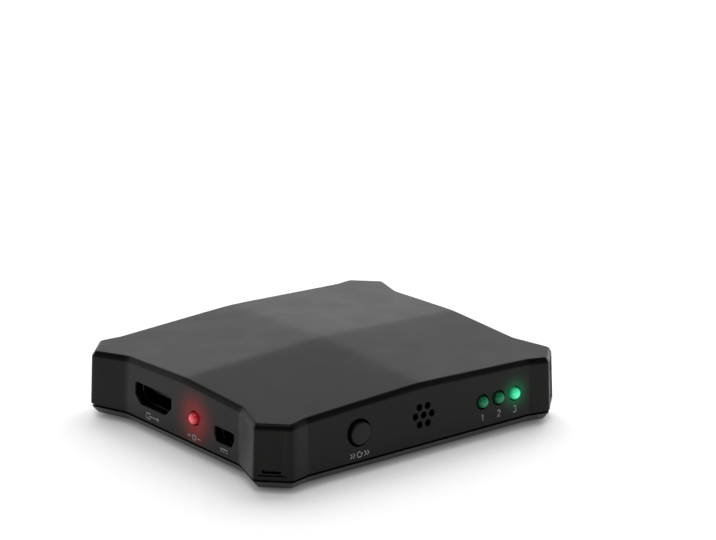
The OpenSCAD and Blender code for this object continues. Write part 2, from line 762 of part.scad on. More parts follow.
module ir_receiver() {
    color("#1a1214") translate([holes_x, ir_y, 0]) {
        translate([-ir_w / 2, 0, holes_z - ir_h / 2]) cube([ir_w, ir_deep, ir_h]);
        translate([0, 0, holes_z]) intersection() {
            translate([0, ir_lens_r - ir_bump, 0]) sphere(r = ir_lens_r);
            translate([-ir_lens_r, -ir_lens_r, -ir_lens_r])
                cube([2 * ir_lens_r, ir_lens_r + joint, 2 * ir_lens_r]);
        }
    }
}
module ir_receiver_leads() {
    foot = board_z - lead_below;
    color("#c8ccd0") for (i = [-1:1])
        translate([holes_x + i * ir_lead_gap - ir_lead[0] / 2, ir_y + (ir_deep - ir_lead[1]) / 2, foot])
            cube([ir_lead[0], ir_lead[1], holes_z - ir_h / 2 - foot]);
}

// Sockets
module hdmi_out_shell() {
    color("#b9bdc2") at_left(out_y) hdmi_shell();
}
module hdmi_out_insulator() {
    color("#121214") at_left(out_y) hdmi_insulator();
}
module hdmi_out_contacts() {
    color("#d0a850") at_left(out_y) hdmi_contacts();
}
module hdmi_in_1_shell() {
    color("#b9bdc2") at_rear(in_pitch) hdmi_shell();
}
module hdmi_in_1_insulator() {
    color("#121214") at_rear(in_pitch) hdmi_insulator();
}
module hdmi_in_1_contacts() {
    color("#d0a850") at_rear(in_pitch) hdmi_contacts();
}
module hdmi_in_2_shell() {
    color("#b9bdc2") at_rear(0) hdmi_shell();
}
module hdmi_in_2_insulator() {
    color("#121214") at_rear(0) hdmi_insulator();
}
module hdmi_in_2_contacts() {
    color("#d0a850") at_rear(0) hdmi_contacts();
}
module hdmi_in_3_shell() {
    color("#b9bdc2") at_rear(-in_pitch) hdmi_shell();
}
module hdmi_in_3_insulator() {
    color("#121214") at_rear(-in_pitch) hdmi_insulator();
}
module hdmi_in_3_contacts() {
    color("#d0a850") at_rear(-in_pitch) hdmi_contacts();
}
module mini_usb_shell() {
    color("#b9bdc2") at_left(usb_y) usb_shell();
}
module mini_usb_insulator() {
    color("#121214") at_left(usb_y) usb_insulator();
}
module mini_usb_contacts() {
    color("#d0a850") at_left(usb_y) usb_contacts();
}

// Board
module circuit_board() {
    color("#1f6b3a") difference() {
        translate([0, 0, board_z]) linear_extrude(board_t) polygon([
            [board_x, board_y - board_cut], [board_x - board_cut, board_y],
            [board_cut - board_x, board_y], [-board_x, board_y - board_cut],
            [-board_x, board_cut - board_y], [board_cut - board_x, -board_y],
            [board_x - board_cut, -board_y], [board_x, board_cut - board_y]]);
        four_corners() translate([screw_x, screw_y, board_z - past])
            cylinder(d = screw_d + 2 * screw_hole_fit, h = board_t + 2 * past);
        at_left(out_y) shell_legs(hdmi_w, hdmi_legs, past, lead_fit);
        at_left(usb_y) shell_legs(usb_w, usb_legs, past, lead_fit);
        for (i = [-1:1]) at_rear(i * in_pitch) shell_legs(hdmi_w, hdmi_legs, past, lead_fit);
        for (i = [1:3]) at_lamp(i) lamp_lead_holes();
        at_power() lamp_lead_holes();
        for (i = [-1:1]) translate([holes_x + i * ir_lead_gap, ir_y + ir_deep / 2, board_z - past])
            cylinder(d = norm(ir_lead) + 2 * lead_fit, h = board_t + 2 * past);
        for (s = [-1, 1])
            translate([button_x + s * switch_leg_x, switch_back - switch_leg[1] / 2, board_z - past])
                cylinder(d = norm(switch_leg) + 2 * lead_fit, h = board_t + 2 * past);
    }
}

module switch_chip() {
    color("#161618") on_board(chip_at) difference() {
        translate([-chip_w / 2, -chip_w / 2, chip_stand]) cube([chip_w, chip_w, chip_h]);
        translate([chip_mark_in - chip_w / 2, chip_mark_in - chip_w / 2, chip_top - mark_sink])
            cylinder(d = chip_mark_d, h = past);
    }
}
module switch_chip_leads() {
    color("#c8ccd0") on_board(chip_at) for (a = [0:90:270], i = [0:chip_row - 1])
        rotate([0, 0, a]) translate([(i - (chip_row - 1) / 2) * chip_pitch, chip_w / 2, 0]) gull(chip_lead_w);
}
module control_chip() {
    color("#161618") on_board(control_at) difference() {
        translate([-control_w / 2, -control_d / 2, chip_stand]) cube([control_w, control_d, chip_h]);
        translate([control_mark_in - control_w / 2, control_mark_in - control_d / 2, chip_top - mark_sink])
            cylinder(d = control_mark_d, h = past);
    }
}
module control_chip_leads() {
    color("#c8ccd0") on_board(control_at) for (a = [0, 180], i = [0:control_row - 1])
        rotate([0, 0, a])
            translate([(i - (control_row - 1) / 2) * control_pitch, control_d / 2, 0]) gull(control_lead_w);
}
module voltage_regulator() {
    color("#161618") on_board(regulator_at)
        translate([-regulator_w / 2, -regulator_d / 2, chip_stand])
            cube([regulator_w, regulator_d, regulator_h]);
}
module voltage_regulator_leads() {
    color("#c8ccd0") on_board(regulator_at) {
        for (i = [-1:1]) rotate([0, 0, 180])
            translate([i * regulator_pitch, regulator_d / 2, 0]) gull(regulator_lead_w);
        translate([0, regulator_d / 2, 0]) gull(regulator_tab_w);
    }
}
module can_capacitors() {
    color("#c4c7ca") for (p = can_at) on_board(p)
        translate([0, 0, can_base_h]) cylinder(d = can_d, h = can_h);
}
module can_capacitor_bases() {
    b = can_base / 2;
    c = can_base_cut;
    color("#161618") for (p = can_at) on_board(p)
        linear_extrude(can_base_h)
            polygon([[-b, -b], [b - c, -b], [b, c - b], [b, b - c], [b - c, b], [-b, b]]);
}
module chip_capacitors() {
    far = chip_w / 2 + cap_gap;
    color("#b08a60") {
        on_board(chip_at) for (a = [0:90:270], i = [-1:1]) rotate([0, 0, a])
            translate([i * cap_pitch - chip_cap[0] / 2, far, 0]) cube(chip_cap);
        on_board(regulator_at) for (s = [-1, 1])
            translate([s * regulator_cap_x - chip_cap[1] / 2, -chip_cap[0] / 2, 0])
                cube([chip_cap[1], chip_cap[0], chip_cap[2]]);
    }
}
module chip_resistors() {
    color("#222226") {
        for (i = [1:3]) on_board([lamp_x + (i - 2) * lamp_pitch - chip_res[0] / 2, lamp_back + resistor_gap])
            cube(chip_res);
        on_board(control_at) for (i = [0:3])
            translate([control_w / 2 + resistor_gap, (i - 1.5) * resistor_pitch - chip_res[1] / 2, 0])
                cube(chip_res);
        on_board([button_x, switch_back + resistor_gap]) for (s = [-1, 1])
            translate([(s - 0.5) * chip_res[0], 0, 0]) cube(chip_res);
    }
}
module surge_arrays() {
    behind = hdmi_deep + hdmi_heel + contact_foot + surge_gap;
    color("#161618") {
        at_left(out_y) for (s = [-1, 1]) translate([s * surge_x - surge[0] / 2, behind, 0]) cube(surge);
        for (i = [-1:1]) at_rear(i * in_pitch) for (s = [-1, 1])
            translate([s * surge_x - surge[0] / 2, behind, 0]) cube(surge);
    }
}
module crystal() {
    far = (crystal_len - crystal_w) / 2;
    color("#c4c7ca") on_board(crystal_at) linear_extrude(crystal_h) union() {
        translate([-crystal_w / 2, -far]) square([crystal_w, 2 * far]);
        for (s = [-1, 1]) translate([0, s * far]) circle(d = crystal_w);
    }
}

top_cover();
bottom_cover();
rubber_feet();
board_screws();
select_button();
push_switch_base();
push_switch_cover();
push_switch_plunger();
push_switch_terminals();
input_lamp_1();
input_lamp_2();
input_lamp_3();
input_lamp_leads();
power_lamp();
power_lamp_leads();
ir_receiver();
ir_receiver_leads();
hdmi_out_shell();
hdmi_out_insulator();
hdmi_out_contacts();
hdmi_in_1_shell();
hdmi_in_1_insulator();
hdmi_in_1_contacts();
hdmi_in_2_shell();
hdmi_in_2_insulator();
hdmi_in_2_contacts();
hdmi_in_3_shell();
hdmi_in_3_insulator();
hdmi_in_3_contacts();
mini_usb_shell();
mini_usb_insulator();
mini_usb_contacts();
circuit_board();
switch_chip();
switch_chip_leads();
control_chip();
control_chip_leads();
voltage_regulator();
voltage_regulator_leads();
can_capacitors();
can_capacitor_bases();
chip_capacitors();
chip_resistors();
surge_arrays();
crystal();
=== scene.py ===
"""Fine shape and finish of a three-way video switch box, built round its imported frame.

Sizes in the classes are millimetres, and meshes are written in metres. Z is up, the table is z = 0,
the front panel faces -Y and the output end faces -X.
"""
import json
import logging
import math
from collections.abc import Callable, Sequence
from dataclasses import dataclass, field, replace
from enum import Enum

import bmesh
import bpy
import numpy as np
from mathutils import Matrix, Vector
from mathutils.geometry import delaunay_2d_cdt


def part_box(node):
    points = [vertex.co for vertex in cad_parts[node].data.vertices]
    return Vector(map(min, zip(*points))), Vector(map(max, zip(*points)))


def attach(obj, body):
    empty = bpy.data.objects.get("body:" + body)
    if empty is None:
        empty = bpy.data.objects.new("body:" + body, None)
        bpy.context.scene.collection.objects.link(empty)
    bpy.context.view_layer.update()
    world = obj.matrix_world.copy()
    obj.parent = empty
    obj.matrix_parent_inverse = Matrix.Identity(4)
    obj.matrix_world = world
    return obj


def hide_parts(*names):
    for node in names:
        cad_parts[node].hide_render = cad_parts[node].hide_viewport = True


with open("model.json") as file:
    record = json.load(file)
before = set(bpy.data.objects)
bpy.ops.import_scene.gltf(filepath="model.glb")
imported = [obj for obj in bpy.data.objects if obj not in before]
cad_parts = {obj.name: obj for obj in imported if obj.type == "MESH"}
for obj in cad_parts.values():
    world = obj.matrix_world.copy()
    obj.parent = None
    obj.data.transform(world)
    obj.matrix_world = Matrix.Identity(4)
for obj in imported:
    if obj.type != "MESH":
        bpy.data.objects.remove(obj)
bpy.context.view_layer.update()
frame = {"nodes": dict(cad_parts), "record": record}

Array = np.ndarray
LOG = logging.getLogger("switch_box")
MM = 0.001
ROOT2 = math.sqrt(2)
# Points of one mesh closer than this, in metres, are one point
WELD = 1e-6
# Edges that turn by more than this stay crisp
CRISP = math.radians(38)
# Senses of x and y at the four corners, anticlockwise
CORNERS = ((1, 1), (-1, 1), (-1, -1), (1, -1))
# Fineness of the two noises of a finish, and the range of their mix that takes up the spread of the gloss
FINE_NOISE = {"Detail": 2.0, "Roughness": 0.6}
BROAD_NOISE = {"Detail": 3.0, "Roughness": 0.55}
GLOSS_SPAN = {"From Min": 0.45, "From Max": 1.05}


class Body(Enum):
    """Bodies of the frame that new pieces ride on."""

    CASE = "case"
    BUTTON = "button"


class Wall(Enum):
    """Walls of the case: outward direction in plan, and the sense of the plan axis from left to right."""

    RIGHT = (1, 0, 1)
    REAR = (0, 1, -1)
    LEFT = (-1, 0, -1)
    FRONT = (0, -1, 1)

    def along(self, point: Array) -> float:
        """Plan coordinate of a point along the wall."""
        return point[1] if self.value[0] else point[0]

    def place(self, along: Array, out: Array, z: Array) -> Array:
        """Puts wall coordinates into the frame.

        Args:
            along: Plan coordinate along the wall, x or y.
            out: Distance of the point from the middle of the case, square to the wall.
            z: Height.

        Returns:
            Points with a last axis of three.
        """
        nx, ny, _ = self.value
        x = nx * out + abs(ny) * along
        y = ny * out + abs(nx) * along
        return np.stack(np.broadcast_arrays(x, y, z), axis=-1)


class Slot(Enum):
    """Material slots of the record."""

    CASE = "case_black"
    BUTTON = "button_black"
    FOOT = "foot_rubber"
    SCREW = "screw_steel"
    SWITCH = "switch_plastic"
    SWITCH_COVER = "switch_steel"
    PLUNGER = "plunger_brown"
    LAMP = "lamp_green"
    LAMP_LIT = "lamp_green_lit"
    POWER_LIT = "lamp_red_lit"
    LEAD = "lead_tin"
    RECEIVER = "receiver_black"
    SHELL = "socket_nickel"
    INSULATOR = "socket_black"
    CONTACT = "contact_gold"
    BOARD = "board_green"
    CHIP = "chip_black"
    CAN = "can_aluminium"
    CERAMIC = "chip_tan"
    NONE = ""


def linear(code: str) -> tuple[float, float, float, float]:
    """Turns an sRGB hex colour into linear light.

    Args:
        code: Six hex digits after a hash.

    Returns:
        Red, green, blue and an alpha of one.
    """
    shares = [int(code[i : i + 2], 16) / 255 for i in (1, 3, 5)]
    light = [s / 12.92 if s <= 0.04045 else ((s + 0.055) / 1.055) ** 2.4 for s in shares]
    return (*light, 1.0)


def add_node(
    tree: bpy.types.NodeTree,
    kind: str,
    settings: dict | None = None,
    values: dict | None = None,
    links: dict | None = None,
) -> bpy.types.Node:
    """Adds a node with its settings, socket values and incoming links.

    Args:
        tree: Node tree that gets the node.
        kind: Blender's name of the node type.
        settings: Node properties by name.
        values: Input defaults by socket name or number.
        links: Source sockets by input name or number.

    Returns:
        The new node.
    """
    node = tree.nodes.new(kind)
    for name, value in (settings or {}).items():
        setattr(node, name, value)
    for socket, value in (values or {}).items():
        node.inputs[socket].default_value = value
    for socket, source in (links or {}).items():
        tree.links.new(source, node.inputs[socket])
    return node


def put(name: str, data: bpy.types.ID) -> bpy.types.Object:
    """Makes an object and links it to the scene.

    Args:
        name: Name of the object.
        data: Its mesh, light or camera.

    Returns:
        The new object.
    """
    made = bpy.data.objects.new(name, data)
    bpy.context.scene.collection.objects.link(made)
    return made


@dataclass(frozen=True)
class Finish:
    """A finish with a fine relief, a mottle of two colours and uneven gloss.

    Attributes:
        name: Common name of the material and how its surface was made.
        slot: Slot of the record.
        colour: Main colour, sRGB hex.
        shade: Second colour of the mottle, sRGB hex.
        roughness: Middle of the roughness.
        spread: How far the roughness strays each way.
        metallic: One for bare metal.
        ior: Index of refraction, for what is not metal.
        grain: Size of the fine relief, in millimetres.
        relief: Depth of the fine relief, in millimetres.
        patch: Size of the mottle, in millimetres.
        stretch: Pull of the relief along X, Y and Z, for brushed and drawn metal.
        coat: Weight of a clear gloss over the colour.
        sheen: Tint of the gloss of what is not metal, sRGB hex.
    """

    name: str
    slot: Slot
    colour: str
    shade: str
    roughness: float
    spread: float = 0.05
    metallic: float = 0.0
    ior: float = 1.5
    grain: float = 0.35
    relief: float = 0.003
    patch: float = 9.0
    stretch: tuple[float, float, float] = (1.0, 1.0, 1.0)
    coat: float = 0.0
    sheen: str = "#ffffff"

    def material(self) -> bpy.types.Material:
        """Makes the material, once for each finish.

        Returns:
            The material.
        """
        known = bpy.data.materials.get(self.name)
        if known:
            return known
        made = bpy.data.materials.new(self.name)
        made.use_nodes = True
        tree = made.node_tree
        tree.nodes.clear()
        values = {"Metallic": self.metallic, "Coat Weight": self.coat}
        shader = add_node(tree, "ShaderNodeBsdfPrincipled", values=values)
        if self.metallic == 0:
            shader.inputs["IOR"].default_value = self.ior
            shader.inputs["Specular Tint"].default_value = linear(self.sheen)
        self.surface(tree, shader)
        add_node(tree, "ShaderNodeOutputMaterial", links={"Surface": shader.outputs[0]})
        return made

    def surface(self, tree: bpy.types.NodeTree, shader: bpy.types.Node) -> None:
        """Links mottle, uneven gloss and relief to the shader.

        Args:
            tree: Node tree of the material.
            shader: Principled shader of the material.
        """
        place = add_node(tree, "ShaderNodeTexCoord").outputs["Object"]
        pulled = add_node(
            tree, "ShaderNodeMapping", values={"Scale": self.stretch}, links={"Vector": place}
        ).outputs[0]
        fine, broad = (
            add_node(
                tree, "ShaderNodeTexNoise", values={"Scale": 1 / (size * MM), **kind}, links={"Vector": at}
            ).outputs[0]
            for size, kind, at in ((self.grain, FINE_NOISE, pulled), (self.patch, BROAD_NOISE, place))
        )
        ends = {6: linear(self.colour), 7: linear(self.shade)}
        mottle = add_node(tree, "ShaderNodeMix", {"data_type": "RGBA"}, ends, {0: broad}).outputs[2]
        mixed = add_node(
            tree, "ShaderNodeMath", {"operation": "MULTIPLY_ADD"}, {1: 0.5}, {0: fine, 2: broad}
        ).outputs[0]
        levels = {"To Min": self.roughness - self.spread, "To Max": self.roughness + self.spread}
        gloss = add_node(
            tree, "ShaderNodeMapRange", values={**GLOSS_SPAN, **levels}, links={"Value": mixed}
        ).outputs[0]
        bump = {"Strength": 1.0, "Distance": self.relief * MM}
        relief = add_node(tree, "ShaderNodeBump", values=bump, links={"Height": fine}).outputs[0]
        tree.links.new(mottle, shader.inputs["Base Color"])
        tree.links.new(gloss, shader.inputs["Roughness"])
        tree.links.new(relief, shader.inputs["Normal"])


@dataclass(frozen=True)
class LampFinish(Finish):
    """Diffusing epoxy of an indicator lamp, brightest near the die inside the lens: the lamp's own light when
    lit, a painted glow when unlit.

    Attributes:
        core: Light given off next to the die, sRGB hex.
        rim: Light given off at the reach, sRGB hex.
        die: Place of the die, in millimetres.
        near: Distance from the die within which the core colour holds, in millimetres.
        reach: Distance from the die at which the rim colour is reached, in millimetres.
    """

    core: str = "#ffffff"
    rim: str = "#000000"
    die: tuple[float, float, float] = (0.0, 0.0, 0.0)
    near: float = 0.6
    reach: float = 2.0

    def surface(self, tree: bpy.types.NodeTree, shader: bpy.types.Node) -> None:
        """Adds the glow of the die to the mottle, gloss and relief of the epoxy.

        Args:
            tree: Node tree of the material.
            shader: Principled shader of the material.
        """
        super().surface(tree, shader)
        place = add_node(tree, "ShaderNodeTexCoord").outputs["Object"]
        die = {1: tuple(v * MM for v in self.die)}
        away = add_node(
            tree, "ShaderNodeVectorMath", {"operation": "DISTANCE"}, die, {0: place}
        ).outputs["Value"]
        smooth = {"interpolation_type": "SMOOTHSTEP"}
        span = {"From Min": self.near * MM, "From Max": self.reach * MM}
        share = add_node(tree, "ShaderNodeMapRange", smooth, span, {"Value": away}).outputs[0]
        ends = {6: linear(self.core), 7: linear(self.rim)}
        glow = add_node(tree, "ShaderNodeMix", {"data_type": "RGBA"}, ends, {0: share}).outputs[2]
        shader.inputs["Emission Strength"].default_value = 1.0
        tree.links.new(glow, shader.inputs["Emission Color"])


# Green diffusing epoxy, unlit: deep green, and an emission that paints a glow and highlight in the middle in
# place of the light of the room caught in the epoxy
GREEN_UNLIT_PAINTED_GLOW = LampFinish(
    "green_epoxy_painted_glow", Slot.LAMP, "#042416", "#042416", 0.22, grain=0.3, relief=0.0005, ior=1.4,
    core="#0e7248", rim="#02180e", near=0.2, reach=1.9,
)
# The same epoxy, lit: mint at the tip and full green at the rim
GREEN_LIT = LampFinish(
    "lit_green_epoxy", Slot.LAMP_LIT, "#063c24", "#063c24", 0.22, grain=0.3, relief=0.0005, coat=0.3,
    core="#4af2b2", rim="#05653a", near=0.4, reach=2.1,
)
# Red diffusing epoxy, lit: pink at the tip and deep red at the rim
RED_LIT = LampFinish(
    "lit_red_epoxy", Slot.POWER_LIT, "#6a1010", "#6a1010", 0.22, grain=0.3, relief=0.0005, coat=0.3,
    core="#e65a62", rim="#6e0a11", near=0.3, reach=1.7,
)
# Black ABS from a spark-eroded mould: satin, with a grain of about 0.1 mm drawn at 0.35 mm so that it shows
CASE_ABS = Finish("satin_moulded_abs", Slot.CASE, "#070708", "#0b0b0c", 0.3, 0.04, ior=1.27, sheen="#fffffa")
# The bottom cover is the same ABS from a blasted mould: a duller, slightly paler black
BASE_ABS = Finish("matt_moulded_abs", Slot.CASE, "#1e1e1e", "#222221", 0.42, 0.04, sheen="#fffffa")
# The same ABS from a smoother mould face, so the cap is a shade lighter
BUTTON_ABS = Finish(
    "smooth_moulded_abs", Slot.BUTTON, "#0f0f10", "#131314", 0.34, 0.04,
    ior=1.3, sheen="#fffffa", relief=0.002,
)
# Moulded silicone rubber: matt, with a dusty mottle
FOOT_RUBBER = Finish("moulded_rubber", Slot.FOOT, "#111111", "#1b1a19", 0.82, 0.08, grain=0.5, relief=0.01)
# Zinc plated steel: pale grey with a faint turned grain
ZINC = Finish("zinc_plated_steel", Slot.SCREW, "#b4b8bd", "#c8c6bc", 0.34, 0.08, 1.0, grain=0.2, patch=2.0)
# Glass-filled nylon: matt black with short fibres
NYLON = Finish("glass_filled_nylon", Slot.SWITCH, "#151517", "#202022", 0.6, 0.08, grain=0.4, relief=0.006)
# Tinned spring steel: soft sheen, rolled along Z
TIN_SHEET = Finish(
    "rolled_tinned_steel", Slot.SWITCH_COVER, "#bfc3c7", "#d0d0cc", 0.3, 0.08, 1.0,
    grain=0.3, relief=0.002, stretch=(1.0, 1.0, 0.08),
)
# Phenolic moulding: dull reddish brown
PHENOLIC = Finish("moulded_phenolic", Slot.PLUNGER, "#5a3a22", "#4a2e1b", 0.55, 0.06)
# Tinned copper lead: bright, slightly wavy
TIN_LEAD = Finish("tinned_copper", Slot.LEAD, "#c4c6c8", "#b2b4b8", 0.28, 0.1, 1.0, grain=0.5, patch=2.0)
# Near-black infrared epoxy: glossy with a purple cast
INFRARED = Finish("infrared_epoxy", Slot.RECEIVER, "#120c10", "#1a1016", 0.14, 0.04, coat=0.3)
# Nickel plated steel sheet, painted near black for the shade inside the deep socket mouths, with a fine
# rolling grain
NICKEL_PAINTED_SHADE = Finish(
    "nickel_steel_painted_shade", Slot.SHELL, "#2c2c2e", "#343432", 0.3, 0.07, 1.0,
    grain=0.25, relief=0.002, patch=3.0, stretch=(1.0, 1.0, 0.15),
)
# Liquid crystal polymer: dense matt black
LCP = Finish("moulded_lcp", Slot.INSULATOR, "#0d0d0f", "#151517", 0.5, 0.06)
# Gold flash over nickel: warm bright metal
GOLD = Finish("gold_flash", Slot.CONTACT, "#d7b064", "#c79c4a", 0.24, 0.05, 1.0, grain=0.3, patch=2.0)
# Moulding compound of chips: matt charcoal with fine silica
COMPOUND = Finish("moulding_compound", Slot.CHIP, "#161618", "#202022", 0.62, 0.06, grain=0.2, relief=0.004)
# Drawn aluminium can: pale metal with streaks down its length
ALUMINIUM = Finish(
    "drawn_aluminium", Slot.CAN, "#c9ccce", "#dcdcda", 0.27, 0.07, 1.0, grain=0.3, stretch=(1.0, 1.0, 0.1)
)
# Fired ceramic of chip capacitors: tan, faintly sugary
CERAMIC = Finish("fired_ceramic", Slot.CERAMIC, "#a98458", "#94714a", 0.45, 0.06, grain=0.2)
# Pad-printed white ink: matt, thin enough to let the black dull it
INK = Finish("pad_printed_ink", Slot.NONE, "#b9bcbd", "#9a9d9f", 0.6, 0.06, grain=0.12, patch=0.6)


@dataclass(frozen=True)
class SolderMask(Finish):
    """Green solder mask over copper: tracks show as paler lines under the lacquer.

    Attributes:
        track: Colour of the mask over copper, sRGB hex.
        pitch: Spacing of the tracks, in millimetres.
        stray: How far the tracks stray from a square lattice, as a share.
        edge: Where the edge of a track starts and ends, as shares of the pitch.
    """

    track: str = "#2f8a4d"
    pitch: float = 1.6
    stray: float = 0.35
    edge: tuple[float, float] = (0.05, 0.1)

    def surface(self, tree: bpy.types.NodeTree, shader: bpy.types.Node) -> None:
        """Adds tracks on a square lattice of cells to the lacquer.

        Args:
            tree: Node tree of the material.
            shader: Principled shader of the material.
        """
        super().surface(tree, shader)
        place = add_node(tree, "ShaderNodeTexCoord").outputs["Object"]
        cells = add_node(
            tree,
            "ShaderNodeTexVoronoi",
            {"distance": "CHEBYCHEV", "feature": "DISTANCE_TO_EDGE"},
            {"Scale": 1 / (self.pitch * MM), "Randomness": self.stray},
            {"Vector": place},
        ).outputs["Distance"]
        span = {"From Min": self.edge[0], "From Max": self.edge[1], "To Min": 1.0, "To Max": 0.0}
        copper = add_node(tree, "ShaderNodeMapRange", values=span, links={"Value": cells}).outputs[0]
        below = shader.inputs["Base Color"].links[0].from_socket
        tracks = add_node(
            tree, "ShaderNodeMix", {"data_type": "RGBA"}, {7: linear(self.track)}, {0: copper, 6: below}
        ).outputs[2]
        tree.links.new(tracks, shader.inputs["Base Color"])


# Glossy green lacquer over glass laminate
MASK = SolderMask("green_solder_mask", Slot.BOARD, "#17592f", "#1d6637", 0.3, 0.05, coat=0.2)


class Draft:
    """Gathers grids, fans and flat fills of points in millimetres and makes them one closed mesh."""

    def __init__(self) -> None:
        """Starts with no points and no faces."""
        self.points: list[Array] = []
        self.faces: list[list[int]] = []
        self.count = 0

    def add(self, points: Array, faces: Array) -> None:
        """Adds points and the faces between them.

        Args:
            points: Points with a last axis of three.
            faces: Rows of point numbers.
        """
        flat = points.reshape(-1, 3)
        self.points.append(flat)
        self.faces.extend((faces.reshape(-1, faces.shape[-1]) + self.count).tolist())
        self.count += len(flat)

    def grid(self, rows: Array, closed: bool = False, keep: Array | None = None) -> None:
        """Adds the quads of a grid of points whose last column joins the first.

        Args:
            rows: Points by row and column.
            closed: Whether the last row joins the first too.
            keep: Mask of the quads to make, all where it is None.
        """
        r, c = rows.shape[:2]
        i = np.arange(r if closed else r - 1)[:, None]
        j = np.arange(c)[None, :]
        below = (i + 1) % r * c
        right = (j + 1) % c
        quads = np.stack(np.broadcast_arrays(i * c + j, i * c + right, below + right, below + j), axis=-1)
        self.add(rows, quads if keep is None else quads[keep])

    def fan(self, ring: Array, tip: Array | None = None) -> None:
        """Closes a ring of points with triangles to one tip.

        Args:
            ring: Points of the ring.
            tip: The tip, or the middle of the ring where it is None.
        """
        tip = ring.mean(axis=0) if tip is None else tip
        n = len(ring)
        k = np.arange(n)
        self.add(np.vstack([ring, tip]), np.stack([k, (k + 1) % n, np.full(n, n)], axis=-1))

    def cap(self, *outlines: Array) -> None:
        """Closes each outline with one flat face."""
        for outline in outlines:
            self.add(outline, np.arange(len(outline))[None, :])

    def flat(self, outer: Array, holes: Sequence[Array], z: float) -> None:
        """Fills a level face between its outline and its holes with triangles.

        Args:
            outer: Plan points of the outline.
            holes: Plan points of each hole.
            z: Height of the face.
        """
        loops = [outer, *holes]
        starts = np.cumsum([0] + [len(loop) for loop in loops]).tolist()
        edges = [
            (start + k, start + (k + 1) % len(loop))
            for start, loop in zip(starts, loops)
            for k in range(len(loop))
        ]
        flat = [Vector(p) for p in np.vstack(loops).tolist()]
        found, _, triangles, *_ = delaunay_2d_cdt(flat, edges, [], 1, 1e-9)
        places = np.array([tuple(p) for p in found])
        triangles = np.array(triangles)
        middles = places[triangles].mean(axis=1)
        keep = inside(outer, middles)
        for hole in holes:
            keep &= ~inside(hole, middles)
        self.add(level(places, z), triangles[keep])

    def piece(self, name: str, finish: Finish, body: Body, *nodes: str) -> bpy.types.Object:
        """Welds the points into a mesh, dresses it and puts it on its body.

        Args:
            name: Name of the piece.
            finish: Its finish.
            body: Body that it rides on.
            nodes: Nodes of the frame that it stands for.

        Returns:
            The new object.
        """
        mesh = bpy.data.meshes.new(name)
        mesh.from_pydata((np.vstack(self.points) * MM).tolist(), [], self.faces)
        shape = bmesh.new()
        shape.from_mesh(mesh)
        bmesh.ops.remove_doubles(shape, verts=shape.verts, dist=WELD)
        bmesh.ops.dissolve_degenerate(shape, edges=shape.edges, dist=WELD)
        bmesh.ops.recalc_face_normals(shape, faces=shape.faces)
        shape.to_mesh(mesh)
        shape.free()
        mesh.shade_smooth()
        mesh.set_sharp_from_angle(angle=CRISP)
        mesh.materials.append(finish.material())
        made = put(name, mesh)
        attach(made, body.value)
        if nodes:
            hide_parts(*nodes)
        LOG.info("%s: %d faces on %s", name, len(mesh.polygons), body.value)
        return made


def inside(loop: Array, points: Array) -> Array:
    """Tells which points lie inside a closed loop, by counting the edges to their right.

    Args:
        loop: Plan points of the loop.
        points: Plan points to test.

    Returns:
        True for each point inside.
    """
    ax, ay = loop.T[:, :, None]
    bx, by = np.roll(loop, -1, axis=0).T[:, :, None]
    px, py = points.T[:, None, :]
    spans = (ay > py) != (by > py)
    rise = np.where(by == ay, 1.0, by - ay)
    crosses = spans & (px < ax + (py - ay) * (bx - ax) / rise)
    return crosses.sum(axis=0) % 2 == 1


def soften(before: Sequence[float], corner: Sequence[float], after: Sequence[float], steps: int) -> Array:
    """Rounds a corner of a profile: the parabola that leaves and arrives along its two sides.

    Args:
        before: Point where the rounding starts, or one for each row.
        corner: The sharp corner, or one for each row.
        after: Point where the rounding ends, or one for each row.
        steps: Number of stretches.

    Returns:
        Points from before to after, by row if there are rows.
    """
    s = np.linspace(0, 1, steps + 1)[:, None]
    a, b, c = (np.asarray(p, float)[..., None, :] for p in (before, corner, after))
    return (1 - s) ** 2 * a + 2 * s * (1 - s) * b + s**2 * c


def level(plan: Array, z: float) -> Array:
    """Sets plan points at one height."""
    return np.column_stack([plan, np.full(len(plan), z)])


def square_loop(across: int, up: int) -> Array:
    """Points round the square from -1 to 1, from its lower left corner, lower side first.

    Args:
        across: Stretches on the lower and upper sides.
        up: Stretches on the left and right sides.

    Returns:
        Points of the loop, each side with its start and without its end.
    """
    a = np.linspace(-1, 1, across + 1)[:-1]
    b = np.linspace(-1, 1, up + 1)[:-1]
    lower = np.column_stack([a, -np.ones(across)])
    right = np.column_stack([np.ones(up), b])
    return np.vstack([lower, right, -lower, -right])


def round_loop(square: Array, radius: float) -> Array:
    """Carries a square loop to a circle with even angles.

    Each coordinate becomes its tangent over an eighth of a turn, and each point is brought to the radius.

    Args:
        square: Loop from square_loop.
        radius: Radius of the circle.

    Returns:
        Points of the circle.
    """
    bent = np.tan(square * math.pi / 4)
    return radius * bent / np.linalg.norm(bent, axis=1, keepdims=True)


